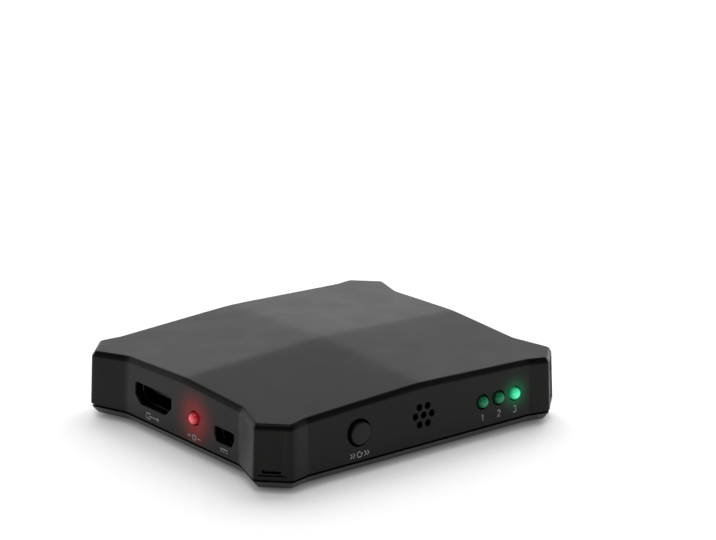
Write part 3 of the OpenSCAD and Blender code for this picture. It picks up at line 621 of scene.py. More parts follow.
@dataclass(frozen=True)
class Mouth:
    """Mouth of a socket: a rectangle with round upper corners and two cut lower corners.

    Attributes:
        width: Inside width.
        height: Inside height.
        cut_w: Width of each corner cut.
        cut_h: Height of each corner cut.
        corner: Radius of the upper corners.
    """

    width: float
    height: float
    cut_w: float
    cut_h: float
    corner: float

    def loop(self, square: Array, grow: float) -> Array:
        """Carries a square loop to the mouth, pulling points in along lines to the middle.

        The corner cuts are straight lines, and a point outside one moves in to it. An upper corner is an arc,
        and a point outside it moves in to the root of the quadratic for the arc that lies farther out.

        Args:
            square: Loop from square_loop.
            grow: Growth of the mouth on every side.

        Returns:
            Points of the mouth about its middle.
        """
        hw = self.width / 2 + grow
        hh = self.height / 2 + grow
        p = square * [hw, hh]
        slant = np.array([self.cut_h, self.cut_w]) / math.hypot(self.cut_h, self.cut_w)
        corner = np.array([self.width / 2 - self.cut_w, self.height / 2])
        limit = corner @ slant + grow
        lean = np.abs(p[:, 0]) * slant[0] - p[:, 1] * slant[1]
        low = p[:, 1] < 0
        p = np.where((low & (lean > limit))[:, None], p * (limit / np.maximum(lean, 1e-9))[:, None], p)
        r = self.corner + max(grow, 0)
        centre = np.column_stack([np.sign(p[:, 0]) * (hw - r), np.full(len(p), hh - r)])
        off = (np.abs(p[:, 0]) > hw - r) & (p[:, 1] > hh - r)
        dot = (p * centre).sum(axis=1)
        size = (p * p).sum(axis=1)
        room = np.maximum(dot**2 - size * ((centre**2).sum(axis=1) - r * r), 0)
        return np.where(off[:, None], p * ((dot + np.sqrt(room)) / size)[:, None], p)


@dataclass(frozen=True)
class Port:
    """A kind of socket and of the hole in front of it.

    Attributes:
        mouth: Mouth of its shell.
        bay: Half width of the hole's bay of columns.
        columns: Number of columns in the bay.
        lip: Rounding of the hole's outer edge.
        legs: Distances of the shell's legs behind its mouth.
        fit: Gap between the mouth and the hole.
    """

    mouth: Mouth
    bay: float
    columns: int
    lip: float
    legs: tuple[float, float]
    fit: float = 0.2

    def hole(self, square: Array, grow: float) -> Array:
        """Outline of the hole, for WallHole."""
        return self.mouth.loop(square, self.fit + grow)


# Video sockets and the power socket, with their standard mouths
VIDEO = Port(Mouth(14.0, 4.55, 2.05, 2.05, 0.45), 8.3, 18, 0.3, (2.2, 8.2))
POWER = Port(Mouth(7.0, 3.1, 0.8, 1.5, 0.35), 4.6, 12, 0.25, (2.0, 6.6))
# Thickness of the sheet of the shells
SHEET_T = 0.4
# Numbers of the inputs, for their sockets and lamps
INPUTS = (1, 2, 3)


@dataclass
class CasePlan:
    """Plan of the case: straight walls, flares that swing out to the ears, and cut corners.

    A column is a place along the outline, counted anticlockwise from the front end of the right wall.

    Attributes:
        ear_x: Half width across the ears.
        ear_y: Half depth across the ears.
        side_recess: How far the end walls stand in from the ears.
        front_recess: How far the front and rear walls stand in from the ears.
        corner_cut: Leg of the cut across each corner.
        side_flare: Length of the curved flares of the end walls.
        front_flare: Length of the curved flares of the front and rear walls.
        side_bends: Radii of the hollow and the round arc of the end walls' flares, as shares of the radius
            that would leave no ramp between them.
        front_bends: The same for the front and rear walls.
        ear_flat: Length of the straight ear end after each flare.
        side_slope: Outward slope of the ear ends of the end walls.
        front_slope: The same for the front and rear walls.
        panel_shift: How far the panel on each cut stands from its middle, towards the end wall.
        ear_round: Rounding of the upright ear edges on the side of the cut.
        flare_round: Rounding of the upright ear edges on the side of the flare.
        arc_steps: Stretches of each of the two arcs of a flare.
        round_steps: Stretches of an ear edge.
        cut_half: Columns on half of a corner cut, from the middle of its panel.
        cut_core: Number of the column in it that keeps its place longest as the cut gets shorter.
        bays: For each wall, stretches with their own columns: start, end and number of columns.
        step: Widest column elsewhere.
        main_x: Half width between the end walls.
        main_y: Half depth between the front and rear walls.
        side_start: Where the flares of the end walls start.
        front_start: Where the flares of the front and rear walls start.
        walls: Plan coordinates of each wall's columns.
        first: Number of each wall's first column.
        corner_first: Number of each corner's first column.
        cut_middle: Number of the column in the middle of a corner's panel, counted in the corner.
    """

    ear_x: float
    ear_y: float
    cut_half: tuple[float, ...]
    bays: dict[Wall, list[tuple[float, float, int]]]
    side_recess: float = 3.4
    front_recess: float = 1.2
    corner_cut: float = 6.6
    side_flare: float = 8.6
    front_flare: float = 3.4
    side_bends: tuple[float, float] = (0.45, 0.5)
    front_bends: tuple[float, float] = (0.35, 0.99)
    ear_flat: float = 2.2
    side_slope: float = 0.33
    front_slope: float = 0.2
    panel_shift: float = 0.483
    ear_round: float = 0.36
    flare_round: float = 0.9
    arc_steps: int = 8
    round_steps: int = 4
    cut_core: int = 2
    step: float = 2.5
    main_x: float = field(init=False)
    main_y: float = field(init=False)
    side_start: float = field(init=False)
    front_start: float = field(init=False)
    walls: dict[Wall, Array] = field(init=False)
    first: dict[Wall, int] = field(init=False)
    corner_first: list[int] = field(init=False)
    cut_middle: int = field(init=False)

    def __post_init__(self) -> None:
        """Works out the wall places, the starts of the flares and the columns of each wall."""
        self.main_x = self.ear_x - self.side_recess
        self.main_y = self.ear_y - self.front_recess
        self.side_start = self.ear_y - self.corner_cut - self.ear_flat - self.side_flare
        self.front_start = self.ear_x - self.corner_cut - self.ear_flat - self.front_flare
        ends = {wall: self.side_start if wall.value[0] else self.front_start for wall in Wall}
        self.walls = {wall: self.columns(ends[wall], self.bays.get(wall, [])) for wall in Wall}
        quarter = len(self.quarter(np.zeros(1))[0])
        self.first = {}
        self.corner_first = []
        count = 0
        for wall in Wall:
            self.first[wall] = count
            count += len(self.walls[wall])
            self.corner_first.append(count)
            count += quarter
        self.cut_middle = quarter // 2

    def columns(self, end: float, bays: list[tuple[float, float, int]]) -> Array:
        """Columns of one wall from -end to end, fine in the bays and at most a step apart elsewhere.

        Args:
            end: Half length of the straight wall.
            bays: Start, end and number of columns of each bay.

        Returns:
            Plan coordinates in rising order.
        """
        parts = []
        here = -end
        for start, stop, count in sorted(bays) + [(end, end, 0)]:
            gap = start - here
            if gap > 1e-6:
                parts.append(np.linspace(here, start, math.ceil(gap / self.step) + 1)[:-1])
            if count:
                parts.append(np.linspace(start, stop, count + 1)[:-1])
            here = stop
        return np.concatenate([*parts, [end]])

    def flare(self, wall: Wall, d: Array) -> tuple[Array, Array]:
        """One flare: a hollow arc, a straight ramp and a round arc, then the straight ear end.

        The arcs are tangent to the wall and to the ear end, and the ramp is the line that both touch. Their
        radii are shares of the one with which the two arcs would meet. Set in by d, the radius of the hollow
        arc grows by d and that of the round arc shrinks by d.

        Args:
            wall: Wall that the flare leaves.
            d: Inset of each row.

        Returns:
            Points of the flare without its first, and the sharp ear, both by row.
        """
        if wall.value[0]:
            main, ear, start, length = self.main_x, self.ear_x, self.side_start, self.side_flare
            bends, slope = self.side_bends, self.side_slope
        else:
            main, ear, start, length = self.main_y, self.ear_y, self.front_start, self.front_flare
            bends, slope = self.front_bends, self.front_slope
        lean = math.atan(slope)
        c = math.cos(lean)
        s = math.sin(lean)
        rise = ear - main - self.ear_flat * slope
        pull = rise * (1 + c) - length * s
        square = rise**2 + length**2
        largest = square / (pull + math.sqrt(pull**2 + 2 * (1 - c) * square))
        r, q = bends[0] * largest, bends[1] * largest
        across, along = r + q * c - rise, length + q * s
        turn = math.atan2(along, across) - math.acos((r + q) / math.hypot(across, along))
        steps = np.linspace(0, 1, self.arc_steps + 1)
        t = turn * steps[1:]
        wide = r + d[:, None]
        hollow = np.stack([main + r - wide * np.cos(t), start + wide * np.sin(t)], axis=-1)
        t = turn + (lean - turn) * steps
        tight = q - d[:, None]
        out = main + rise - q * c + tight * np.cos(t)
        crown = np.stack([out, start + along - tight * np.sin(t)], axis=-1)
        back = d * (1 + ROOT2 * s) / (c + s)
        corner = np.stack([ear - back, start + length + self.ear_flat + back - ROOT2 * d], axis=-1)
        flat = np.linalg.norm(corner - crown[:, -1], axis=-1)
        last = corner - np.minimum(self.flare_round, 0.9 * flat)[:, None] * np.array([s, c])
        return np.concatenate([hollow, crown, last[:, None]], axis=1), corner

    def stations(self, room: Array) -> Array:
        """Columns of a corner cut for each row: as set out where they fit, else drawn in to the room.

        Args:
            room: Length of the cut from the panel's middle to one of its round edges, for each row.

        Returns:
            Distances from the middle, by row and column.
        """
        half = np.array(self.cut_half)
        core = half[self.cut_core]
        reach = np.minimum(room - 0.03, half[-1])[:, None]
        near = np.minimum(core, 0.9 * reach)
        outer = near + (half - core) / (half[-1] - core) * (reach - near)
        return np.where(half <= core, half * near / core, outer)

    def quarter(self, d: Array) -> Array:
        """Outline from the right wall round the corner to the rear wall: flare, edge, cut, edge, flare.

        Args:
            d: Inset of each row.

        Returns:
            Plan points by row and column.
        """
        side, ear_a = self.flare(Wall.RIGHT, d)
        rear, ear_b = self.flare(Wall.REAR, d)
        rear = rear[:, ::-1, ::-1]
        ear_b = ear_b[:, ::-1]
        along = np.array([-1, 1]) / ROOT2
        middle = np.array([self.ear_x, self.ear_y]) - self.corner_cut / 2 - d[:, None] / ROOT2
        middle = middle - self.panel_shift * along
        cut_a = ear_a + self.ear_round * along
        cut_b = ear_b - self.ear_round * along
        room_a = (middle - cut_a) @ along
        room_b = (cut_b - middle) @ along
        marks = np.concatenate([-self.stations(room_a)[:, :0:-1], self.stations(room_b)], axis=1)
        cut = middle[:, None] + marks[..., None] * along
        edge_a = soften(side[:, -1], ear_a, cut_a, self.round_steps)[:, 1:]
        edge_b = soften(cut_b, ear_b, rear[:, 0], self.round_steps)[:, :-1]
        return np.concatenate([side, edge_a, cut, edge_b, rear], axis=1)

    def outline(self, d: Array) -> Array:
        """Whole outline, set in by d: walls and corners in turn, with each corner a mirrored quarter.

        Args:
            d: Inset of each row.

        Returns:
            Plan points by row and column.
        """
        quarter = self.quarter(d)
        turned = [quarter, quarter[:, ::-1] * [-1, 1], quarter * [-1, -1], quarter[:, ::-1] * [1, -1]]
        parts = []
        for wall, corner in zip(Wall, turned):
            along = self.walls[wall][:: wall.value[2]]
            parts.append(wall.place(along[None, :], self.reach(wall) - d[:, None], 0.0)[..., :2])
            parts.append(corner)
        return np.concatenate(parts, axis=1)

    def reach(self, wall: Wall) -> float:
        """Distance of a straight wall from the middle of the case."""
        return self.main_x if wall.value[0] else self.main_y

    def span(self, wall: Wall, low: float, high: float) -> Array:
        """Column numbers of a stretch of a wall, from left to right seen from outside.

        Args:
            wall: The wall.
            low: Lower plan coordinate of the stretch.
            high: Higher plan coordinate.

        Returns:
            Column numbers in rising order.
        """
        along = self.walls[wall]
        a, b = (int(np.argmin(np.abs(along - v))) for v in (low, high))
        if wall.value[2] < 0:
            a, b = len(along) - 1 - b, len(along) - 1 - a
        return self.first[wall] + np.arange(a, b + 1)

    def cut_span(self, corner: int, half: float) -> Array:
        """Column numbers of the middle of a corner cut.

        Args:
            corner: Number of the corner, anticlockwise.
            half: Half width of the stretch.

        Returns:
            Column numbers in rising order.
        """
        k = int(np.argmin(np.abs(np.array(self.cut_half) - half)))
        middle = self.corner_first[corner] + self.cut_middle
        return np.arange(middle - k, middle + k + 1)


@dataclass
class WallHole:
    """A hole in a wall, in a bay of the wall's columns and a band of its rows.

    Attributes:
        wall: Wall that it goes through.
        along: Plan coordinate of its middle.
        z: Height of its middle.
        bay: Half width of its bay.
        band: Lowest and highest row of its band, counted in the wall's rows.
        loop: Outline as a function of a square loop and a growth.
        lip: Rounding of its outer edge.
    """

    wall: Wall
    along: float
    z: float
    bay: float
    band: tuple[int, int]
    loop: Callable[[Array, float], Array]
    lip: float


def span_of(node: str) -> tuple[Array, Array]:
    """Lowest and highest corner of a node's box, in millimetres."""
    low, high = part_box(node)
    return np.array(low) / MM, np.array(high) / MM


def middle_of(node: str) -> Array:
    """Middle of a node's box, in millimetres."""
    return sum(span_of(node)) / 2


def port_places() -> list[tuple[Wall, str, Port]]:
    """Wall, shell node and kind of every socket."""
    ends = [(Wall.LEFT, "hdmi_out_shell", VIDEO), (Wall.LEFT, "mini_usb_shell", POWER)]
    return ends + [(Wall.REAR, f"hdmi_in_{i}_shell", VIDEO) for i in INPUTS]


def circle_hole(radius: float) -> Callable[[Array, float], Array]:
    """Outline of a round hole, for WallHole."""
    return lambda square, grow: round_loop(square, radius + grow)


def with_share(points: Array, share: float) -> Array:
    """Makes rows of inset, share and lift from points of inset and lift."""
    return np.column_stack([points[:, 0], np.full(len(points), share), points[:, 1]])


@dataclass
class TopCover:
    """Top cover: one closed shell with outer and inner faces, all holes and the sunk corner panels.

    The shell is a profile carried round the plan. Each row of the profile has an inset from the plan, a share
    of the way from the wall's foot to the roof bevel, and a lift. Past the roof edge the rows are the last
    outline drawn in towards the middle, on the roof surface.

    Attributes:
        seam: Height of the wall's foot.
        rim_in: Inset of the inner rim.
        lean: How far the walls lean in.
        inner: Inset of the inner wall face.
        edge_h: Height of the roof bevel.
        edge_in: Depth of the roof bevel.
        roof_t: Thickness of the roof.
        side_fall: Fall of the roof to the end walls.
        front_fall: Fall of the roof to the front wall.
        crease_x: Softness of the crease at x = 0.
        crease_y: Softness of the crease at y = 0.
        panel_half: Half width of a corner panel's floor.
        panel_side: Width of its sloped sides.
        panel_sink: Its depth.
        panel_lift: Height of its foot above the seam.
        panel_drop: Depth of its top under the roof bevel.
        slot_half: Half width of the slot in it.
        slot_low: Height of the slot's foot above the seam.
        slot_high: Height of the slot's top above the seam.
        button_hole: Radius of the button's hole.
        button_bay: Half width of its bay of columns.
        button_lip: Rounding of its outer edge.
        lamp_hole: Radius of a lamp's hole.
        lamp_lip: Rounding of its outer edge.
        power_bay: Half width of the power lamp's bay of columns.
        sieve_hole: Radius of a receiver hole.
        sieve_pitch: Spacing of the receiver holes.
        sieve_lip: Rounding of their outer edges.
        crease_bay: Half width of the bay of columns at the crease of an end wall.
        bay_shares: Shares between the bands of rows that the holes lie in.
        bay_rows: Rows of each band.
        plain_shares: Shares of further rows.
        inner_top: Share above which the inner wall has no rows of its own.
        panel_step: Share that each short step at a panel's foot and top takes.
        bevel_round: Rounding between wall and roof bevel.
        brow_round: Rounding between roof bevel and roof.
        cove_round: Rounding between inner wall and ceiling.
        heel_round: Rounding of the wall's foot.
        chamfer: Width of the small chamfers of the rim.
        roof_scales: Scales of the outline for the rows of the roof.
        deck: Height of the rim's foot.
        peak: Height of the roof's middle.
        plan: Plan of the case.
        panel_shares: Shares of a panel's foot and top.
        slot_shares: Shares of a slot's foot and top.
        shares: Shares of the wall's rows.
        band: Numbers of the rows between the bands.
        holes: Holes of all walls.
        outer_rows: Numbers of the outer wall's rows in the shell.
        inner_rows: Numbers of the inner wall's rows in the shell.
    """

    seam: float = 3.5
    rim_in: float = 0.9
    lean: float = 0.4
    inner: float = 2.2
    edge_h: float = 1.1
    edge_in: float = 0.7
    roof_t: float = 2.0
    side_fall: float = 1.7
    front_fall: float = 1.6
    crease_x: float = 2.2
    crease_y: float = 1.5
    panel_half: float = 2.75
    panel_side: float = 0.95
    panel_sink: float = 0.5
    panel_lift: float = 0.8
    panel_drop: float = 0.3
    slot_half: float = 2.2
    slot_low: float = 1.3
    slot_high: float = 2.2
    button_hole: float = 3.25
    button_bay: float = 4.3
    button_lip: float = 0.25
    lamp_hole: float = 1.8
    lamp_lip: float = 0.2
    power_bay: float = 2.7
    sieve_hole: float = 0.825
    sieve_pitch: float = 2.45
    sieve_lip: float = 0.12
    crease_bay: float = 0.6
    bay_shares: tuple[float, ...] = (0.1955, 0.2706, 0.4315, 0.591, 0.752, 0.845)
    bay_rows: tuple[int, ...] = (2, 5, 5, 5, 3)
    plain_shares: tuple[float, ...] = (0.045, 0.148, 0.9)
    inner_top: float = 0.86
    panel_step: float = 0.012
    bevel_round: float = 0.16
    brow_round: float = 0.22
    cove_round: float = 0.6
    heel_round: float = 0.16
    chamfer: float = 0.1
    roof_scales: tuple[float, ...] = (0.97, 0.93, 0.87, 0.78, 0.68, 0.57, 0.46, 0.35, 0.25, 0.16, 0.08, 0.03)
    deck: float = field(init=False)
    peak: float = field(init=False)
    plan: CasePlan = field(init=False)
    panel_shares: tuple[float, float] = field(init=False)
    slot_shares: tuple[float, float] = field(init=False)
    shares: Array = field(init=False)
    band: list[int] = field(init=False)
    holes: list[WallHole] = field(init=False)
    outer_rows: Array = field(init=False)
    inner_rows: Array = field(init=False)

    def __post_init__(self) -> None:
        """Reads the frame and sets out the plan, the roof and the holes."""
        low, high = span_of("top_cover")
        self.deck = low[2]
        self.peak = high[2]
        mouth = self.panel_half + self.panel_side
        # Columns of half a corner cut: slot, panel floor, sloped side and a narrow border
        half = (0.0, 1.1, self.slot_half, 2.5, self.panel_half, 3.2, mouth - 0.1, mouth, mouth + 0.06)
        lamps = [middle_of(f"input_lamp_{i}") for i in INPUTS]
        lamp_bay = (lamps[1][0] - lamps[0][0]) / 2
        sieve = middle_of("ir_receiver")
        cell = self.sieve_pitch / 2
        button = middle_of("select_button")
        # Wall, middle, half bay, columns, radius and lip of each round hole
        places = [(Wall.FRONT, button, self.button_bay, 12, self.button_hole, self.button_lip)]
        places += [(Wall.FRONT, lamp, lamp_bay, 8, self.lamp_hole, self.lamp_lip) for lamp in lamps]
        places.append((Wall.LEFT, middle_of("power_lamp"), self.power_bay, 8, self.lamp_hole, self.lamp_lip))
        crease = (-self.crease_bay, self.crease_bay, 4)
        bays = {
            Wall.FRONT: [(sieve[0] + k * cell, sieve[0] + (k + 1) * cell, 4) for k in range(-3, 3)],
            Wall.LEFT: [crease],
            Wall.REAR: [],
            Wall.RIGHT: [crease],
        }
        for wall, at, bay, columns, _, _ in places:
            along = wall.along(at)
            bays[wall].append((along - bay, along + bay, columns))
        for wall, node, port in port_places():
            along = wall.along(middle_of(node))
            bays[wall].append((along - port.bay, along + port.bay, port.columns))
        self.plan = CasePlan(high[0], high[1], half, bays)
        corner = self.corner_rise()
        self.panel_shares = (self.panel_lift / corner, 1 - self.panel_drop / corner)
        self.slot_shares = (self.slot_low / corner, self.slot_high / corner)
        self.shares = self.wall_shares()
        self.band = [int(np.argmin(np.abs(self.shares - b))) for b in self.bay_shares]
        whole = (self.band[0], self.band[-1])
        self.holes = [
            WallHole(wall, wall.along(at), at[2], bay, whole, circle_hole(radius), lip)
            for wall, at, bay, _, radius, lip in places
        ]
        self.sieve(sieve[0], sieve[2], cell)
        for wall, node, port in port_places():
            z = span_of(node)[1][2] - SHEET_T - port.mouth.height / 2
            along = wall.along(middle_of(node))
            self.holes.append(WallHole(wall, along, z, port.bay, whole, port.hole, port.lip))

    def sieve(self, x: float, z: float, cell: float) -> None:
        """Sets out the receiver holes: one in the middle and six round it, in three bands of rows.

        Args:
            x: Plan coordinate of the middle hole.
            z: Height of the middle hole.
            cell: Half the spacing of the holes.
        """
        bands = [tuple(self.band[k : k + 2]) for k in (1, 2, 3)]
        rise = self.sieve_pitch * math.sin(math.pi / 3)
        loop = circle_hole(self.sieve_hole)
        for band, up, offsets in zip(bands, (-rise, 0, rise), ((-1, 1), (-2, 0, 2), (-1, 1))):
            for k in offsets:
                here = x + k * cell
                self.holes.append(WallHole(Wall.FRONT, here, z + up, cell, band, loop, self.sieve_lip))

    def wall_shares(self) -> Array:
        """Sets out the wall rows: panel foot, slot, the bands of the holes, and panel top.

        Returns:
            Shares of the rows in rising order.
        """
        foot, top = self.panel_shares
        bays = [
            np.linspace(a, b, n + 1)[:-1]
            for a, b, n in zip(self.bay_shares[:-1], self.bay_shares[1:], self.bay_rows)
        ]
        step = self.panel_step
        low = [foot, foot + step, foot + 2 * step, *self.slot_shares]
        high = [self.bay_shares[-1], top - 2 * step, top - step, top, top + step / 2]
        return np.sort(np.concatenate([low, self.plain_shares, *bays, high]))

    def corner_rise(self) -> float:
        """Measures the wall from foot to bevel in the middle of a corner cut.

        Returns:
            Its height.
        """
        x = self.plan.ear_x - self.plan.corner_cut / 2
        y = self.plan.ear_y - self.plan.corner_cut / 2
        return float(self.roof(np.array(x), np.array(y))) - self.edge_h - self.seam

    def roof(self, x: Array, y: Array) -> Array:
        """Height of the roof: four facets that fall away from the middle, with soft creases.

        Each fall is the slope times the square root of the squared distance plus the squared crease, less the
        crease, which is nearly straight away from the crease line.

        Args:
            x: Plan coordinate.
            y: Plan coordinate.

        Returns:
            Heights.
        """
        slope_x = self.side_fall / self.plan.main_x
        slope_y = self.front_fall / self.plan.main_y
        fall_x = np.sqrt(x**2 + self.crease_x**2) - self.crease_x
        fall_y = np.sqrt(y**2 + self.crease_y**2) - self.crease_y
        return self.peak - slope_x * fall_x - slope_y * fall_y

    def rows(self, profile: Array) -> Array:
        """Carries profile rows round the plan.

        Args:
            profile: Inset, share and lift of each row.

        Returns:
            Points by row and column.
        """
        d, share, lift = profile.T
        xy = self.plan.outline(d)
        top = self.roof(xy[..., 0], xy[..., 1]) - self.edge_h
        z = self.seam + share[:, None] * (top - self.seam) + lift[:, None]
        return np.concatenate([xy, z[..., None]], axis=-1)

    def drawn_in(self, ring: Array, shares: Array, drop: float) -> Array:
        """Rows of the roof: an outline scaled towards the middle and set on the roof surface.

        Args:
            ring: Points of the outline.
            shares: Scale of each row.
            drop: Distance below the outer roof.

        Returns:
            Points by row and column.
        """
        xy = ring[None, :, :2] * shares[:, None, None]
        z = self.roof(xy[..., 0], xy[..., 1]) - drop
        return np.concatenate([xy, z[..., None]], axis=-1)

    def out_at(self, wall: Wall, along: Array, z: Array) -> Array:
        """Distance of the outer wall face from the middle of the case, at a place on the leaning wall.

        Args:
            wall: The wall.
            along: Plan coordinate along it.
            z: Height.

        Returns:
            Distances square to the wall.
        """
        main = self.plan.reach(wall)
        at = wall.place(along, main - self.lean, z)
        top = self.roof(at[..., 0], at[..., 1]) - self.edge_h
        return main - self.lean * (z - self.seam) / (top - self.seam)

    def build(self) -> Draft:
        """Makes the shell: inner roof, inner wall, rim, outer wall, bevel and roof, with every hole.

        Returns:
            The drafted mesh.
        """
        deck = self.deck - self.seam
        small, bend, ease = self.chamfer, self.bevel_round, self.brow_round
        cove, heel = self.cove_round, self.heel_round
        ceiling = self.edge_h - self.roof_t
        inner = self.inner
        inner_edge = soften((inner + cove, ceiling), (inner, ceiling), (inner, ceiling - cove), 3)
        inner_edge = with_share(inner_edge, 1)
        shares = self.shares
        low = shares[shares < self.inner_top][::-1]
        inner_wall = np.column_stack([np.full(len(low), inner), low, np.zeros(len(low))])
        rim = [(inner, 0), (inner, deck + small), (inner - small, deck), (self.rim_in + small, deck)]
        rim += [(self.rim_in, deck + small), (self.rim_in, -small), (self.rim_in - small, 0), (0.3, 0)]
        rim = with_share(np.array(rim), 0)
        foot = with_share(soften((heel, 0), (0, 0), (0.005, heel), 4), 0)
        outer_wall = np.column_stack([self.lean * shares, shares, np.zeros(len(shares))])
        ridge = self.lean + self.edge_in
        edge_h = self.edge_h
        fall = edge_h / self.edge_in
        brink = soften((self.lean, -0.35), (self.lean, 0), (self.lean + bend, bend * fall), 4)
        plain = [(self.lean + 0.22, 0.22 * fall), (ridge - 0.28, edge_h - 0.28 * fall)]
        brow = soften((ridge - ease, edge_h - ease * fall), (ridge, edge_h), (ridge + 0.5, edge_h), 6)
        top = with_share(np.vstack([brink, plain, brow, [(ridge + 0.75, edge_h), (ridge + 1.5, edge_h)]]), 1)
        profile = np.vstack([inner_edge, inner_wall, rim, foot, outer_wall, top])
        grid = self.rows(profile)
        inward = np.array(self.roof_scales)
        grid = np.concatenate(
            [self.drawn_in(grid[0], inward[::-1], self.roof_t), grid, self.drawn_in(grid[-1], inward, 0.0)]
        )
        start = len(inward) + len(inner_edge)
        self.inner_rows = start + len(low) - 1 - np.arange(len(low))
        self.outer_rows = start + len(low) + len(rim) + len(foot) + np.arange(len(shares))
        self.sink_panels(grid)
        draft = Draft()
        keep = np.ones((len(grid) - 1, grid.shape[1]), bool)
        for hole in self.holes:
            self.cut(draft, grid, keep, hole)
        self.cut_slots(draft, grid, keep)
        draft.grid(grid, keep=keep)
        draft.fan(grid[0], np.array([0, 0, self.peak - self.roof_t]))
        draft.fan(grid[-1], np.array([0, 0, self.peak]))
        return draft

    def sink_panels(self, grid: Array) -> None:
        """Moves the middle of each corner cut in: level floor, sloped sides, short steps at foot and top.

        Args:
            grid: Points of the shell, changed in place.
        """
        foot, top = self.panel_shares
        deep = (self.shares > foot + 1e-6) & (self.shares < top - 1e-6)
        half = np.array(self.plan.cut_half)
        marks = np.concatenate([half[::-1], half[1:]])
        slope = np.clip((self.panel_half + self.panel_side - marks) / self.panel_side, 0, 1)
        sink = self.panel_sink * deep[:, None] * slope
        for corner, sign in enumerate(CORNERS):
            columns = self.plan.cut_span(corner, half[-1])
            shift = sink[..., None] * np.array([*sign, 0]) / ROOT2
            grid[np.ix_(self.outer_rows, columns)] -= shift

    def opened(self, grid: Array, keep: Array, band: Array, columns: Array) -> list[Array]:
        """Leaves out the quads of a block on the outer and on the inner wall face.

        Args:
            grid: Points of the shell.
            keep: Mask of the shell's quads, changed in place.
            band: Rows of the block from low to high, counted in the wall's rows.
            columns: Columns of the block from left to right.

        Returns:
            Border of the block on each face, in the order of square_loop.
        """
        borders = []
        for rows in (self.outer_rows[band], self.inner_rows[band]):
            keep[rows.min() : rows.max(), columns[0] : columns[-1]] = False
            below, right = grid[rows[0], columns[:-1]], grid[rows[:-1], columns[-1]]
            above, left = grid[rows[-1], columns[:0:-1]], grid[rows[:0:-1], columns[0]]
            borders.append(np.vstack([below, right, above, left]))
        return borders

    def cut(self, draft: Draft, grid: Array, keep: Array, hole: WallHole) -> None:
        """Cuts one hole: wall face to lip, round lip, tube through the wall, and inner wall face.

        The lip is a quarter circle: its growth is the lip times one less the sine, and its depth the lip
        times one less the cosine, of an angle from nothing to a right angle.

        Args:
            draft: Mesh that gets the faces.
            grid: Points of the shell.
            keep: Mask of the shell's quads.
            hole: The hole.
        """
        columns = self.plan.span(hole.wall, hole.along - hole.bay, hole.along + hole.bay)
        band = np.arange(hole.band[0], hole.band[1] + 1)
        border, back = self.opened(grid, keep, band, columns)
        square = square_loop(len(columns) - 1, len(band) - 1)
        inner_out = self.plan.reach(hole.wall) - self.inner
        sense = hole.wall.value[2]

        def row(grow: float, depth: float, through: float) -> Array:
            """Loop of the hole between the outer and the inner wall face.

            Args:
                grow: Growth of the loop.
                depth: Depth under the outer face.
                through: Share of the way from there to the inner face.

            Returns:
                Points of the loop.
            """
            at = hole.loop(square, grow)
            along = hole.along + sense * at[:, 0]
            z = hole.z + at[:, 1]
            out = self.out_at(hole.wall, along, z) - depth
            out = out + (inner_out - out) * through
            return hole.wall.place(along, out, z)

        lip = row(hole.lip, 0, 0)
        end = row(0.1, 0, 1)
        angle = np.linspace(0, math.pi / 2, 6)[1:]
        rows = [border + (lip - border) * s for s in (0.0, 0.4, 0.75, 0.93, 1.0)]
        rows += [row(hole.lip * (1 - math.sin(a)), hole.lip * (1 - math.cos(a)), 0) for a in angle]
        rows += [row(0, hole.lip, 0.1), row(0, hole.lip, 0.9), end]
        rows += [end + (back - end) * s for s in (0.15, 0.6, 1.0)]
        draft.grid(np.stack(rows))

    def cut_slots(self, draft: Draft, grid: Array, keep: Array) -> None:
        """Cuts the snap slot through the floor of each corner panel.

        Args:
            draft: Mesh that gets the faces.
            grid: Points of the shell.
            keep: Mask of the shell's quads.
        """
        marks = [int(np.argmin(np.abs(self.shares - s))) for s in self.slot_shares]
        band = np.arange(marks[0], marks[1] + 1)
        for corner in range(4):
            columns = self.plan.cut_span(corner, self.slot_half)
            front, back = self.opened(grid, keep, band, columns)
            draft.grid(np.stack([front + (back - front) * s for s in (0.0, 0.1, 0.9, 1.0)]))

    def dress(self) -> bpy.types.Object:
        """Builds the cover in its finish, in place of its node."""
        return self.build().piece("top_cover_shell", CASE_ABS, Body.CASE, "top_cover")


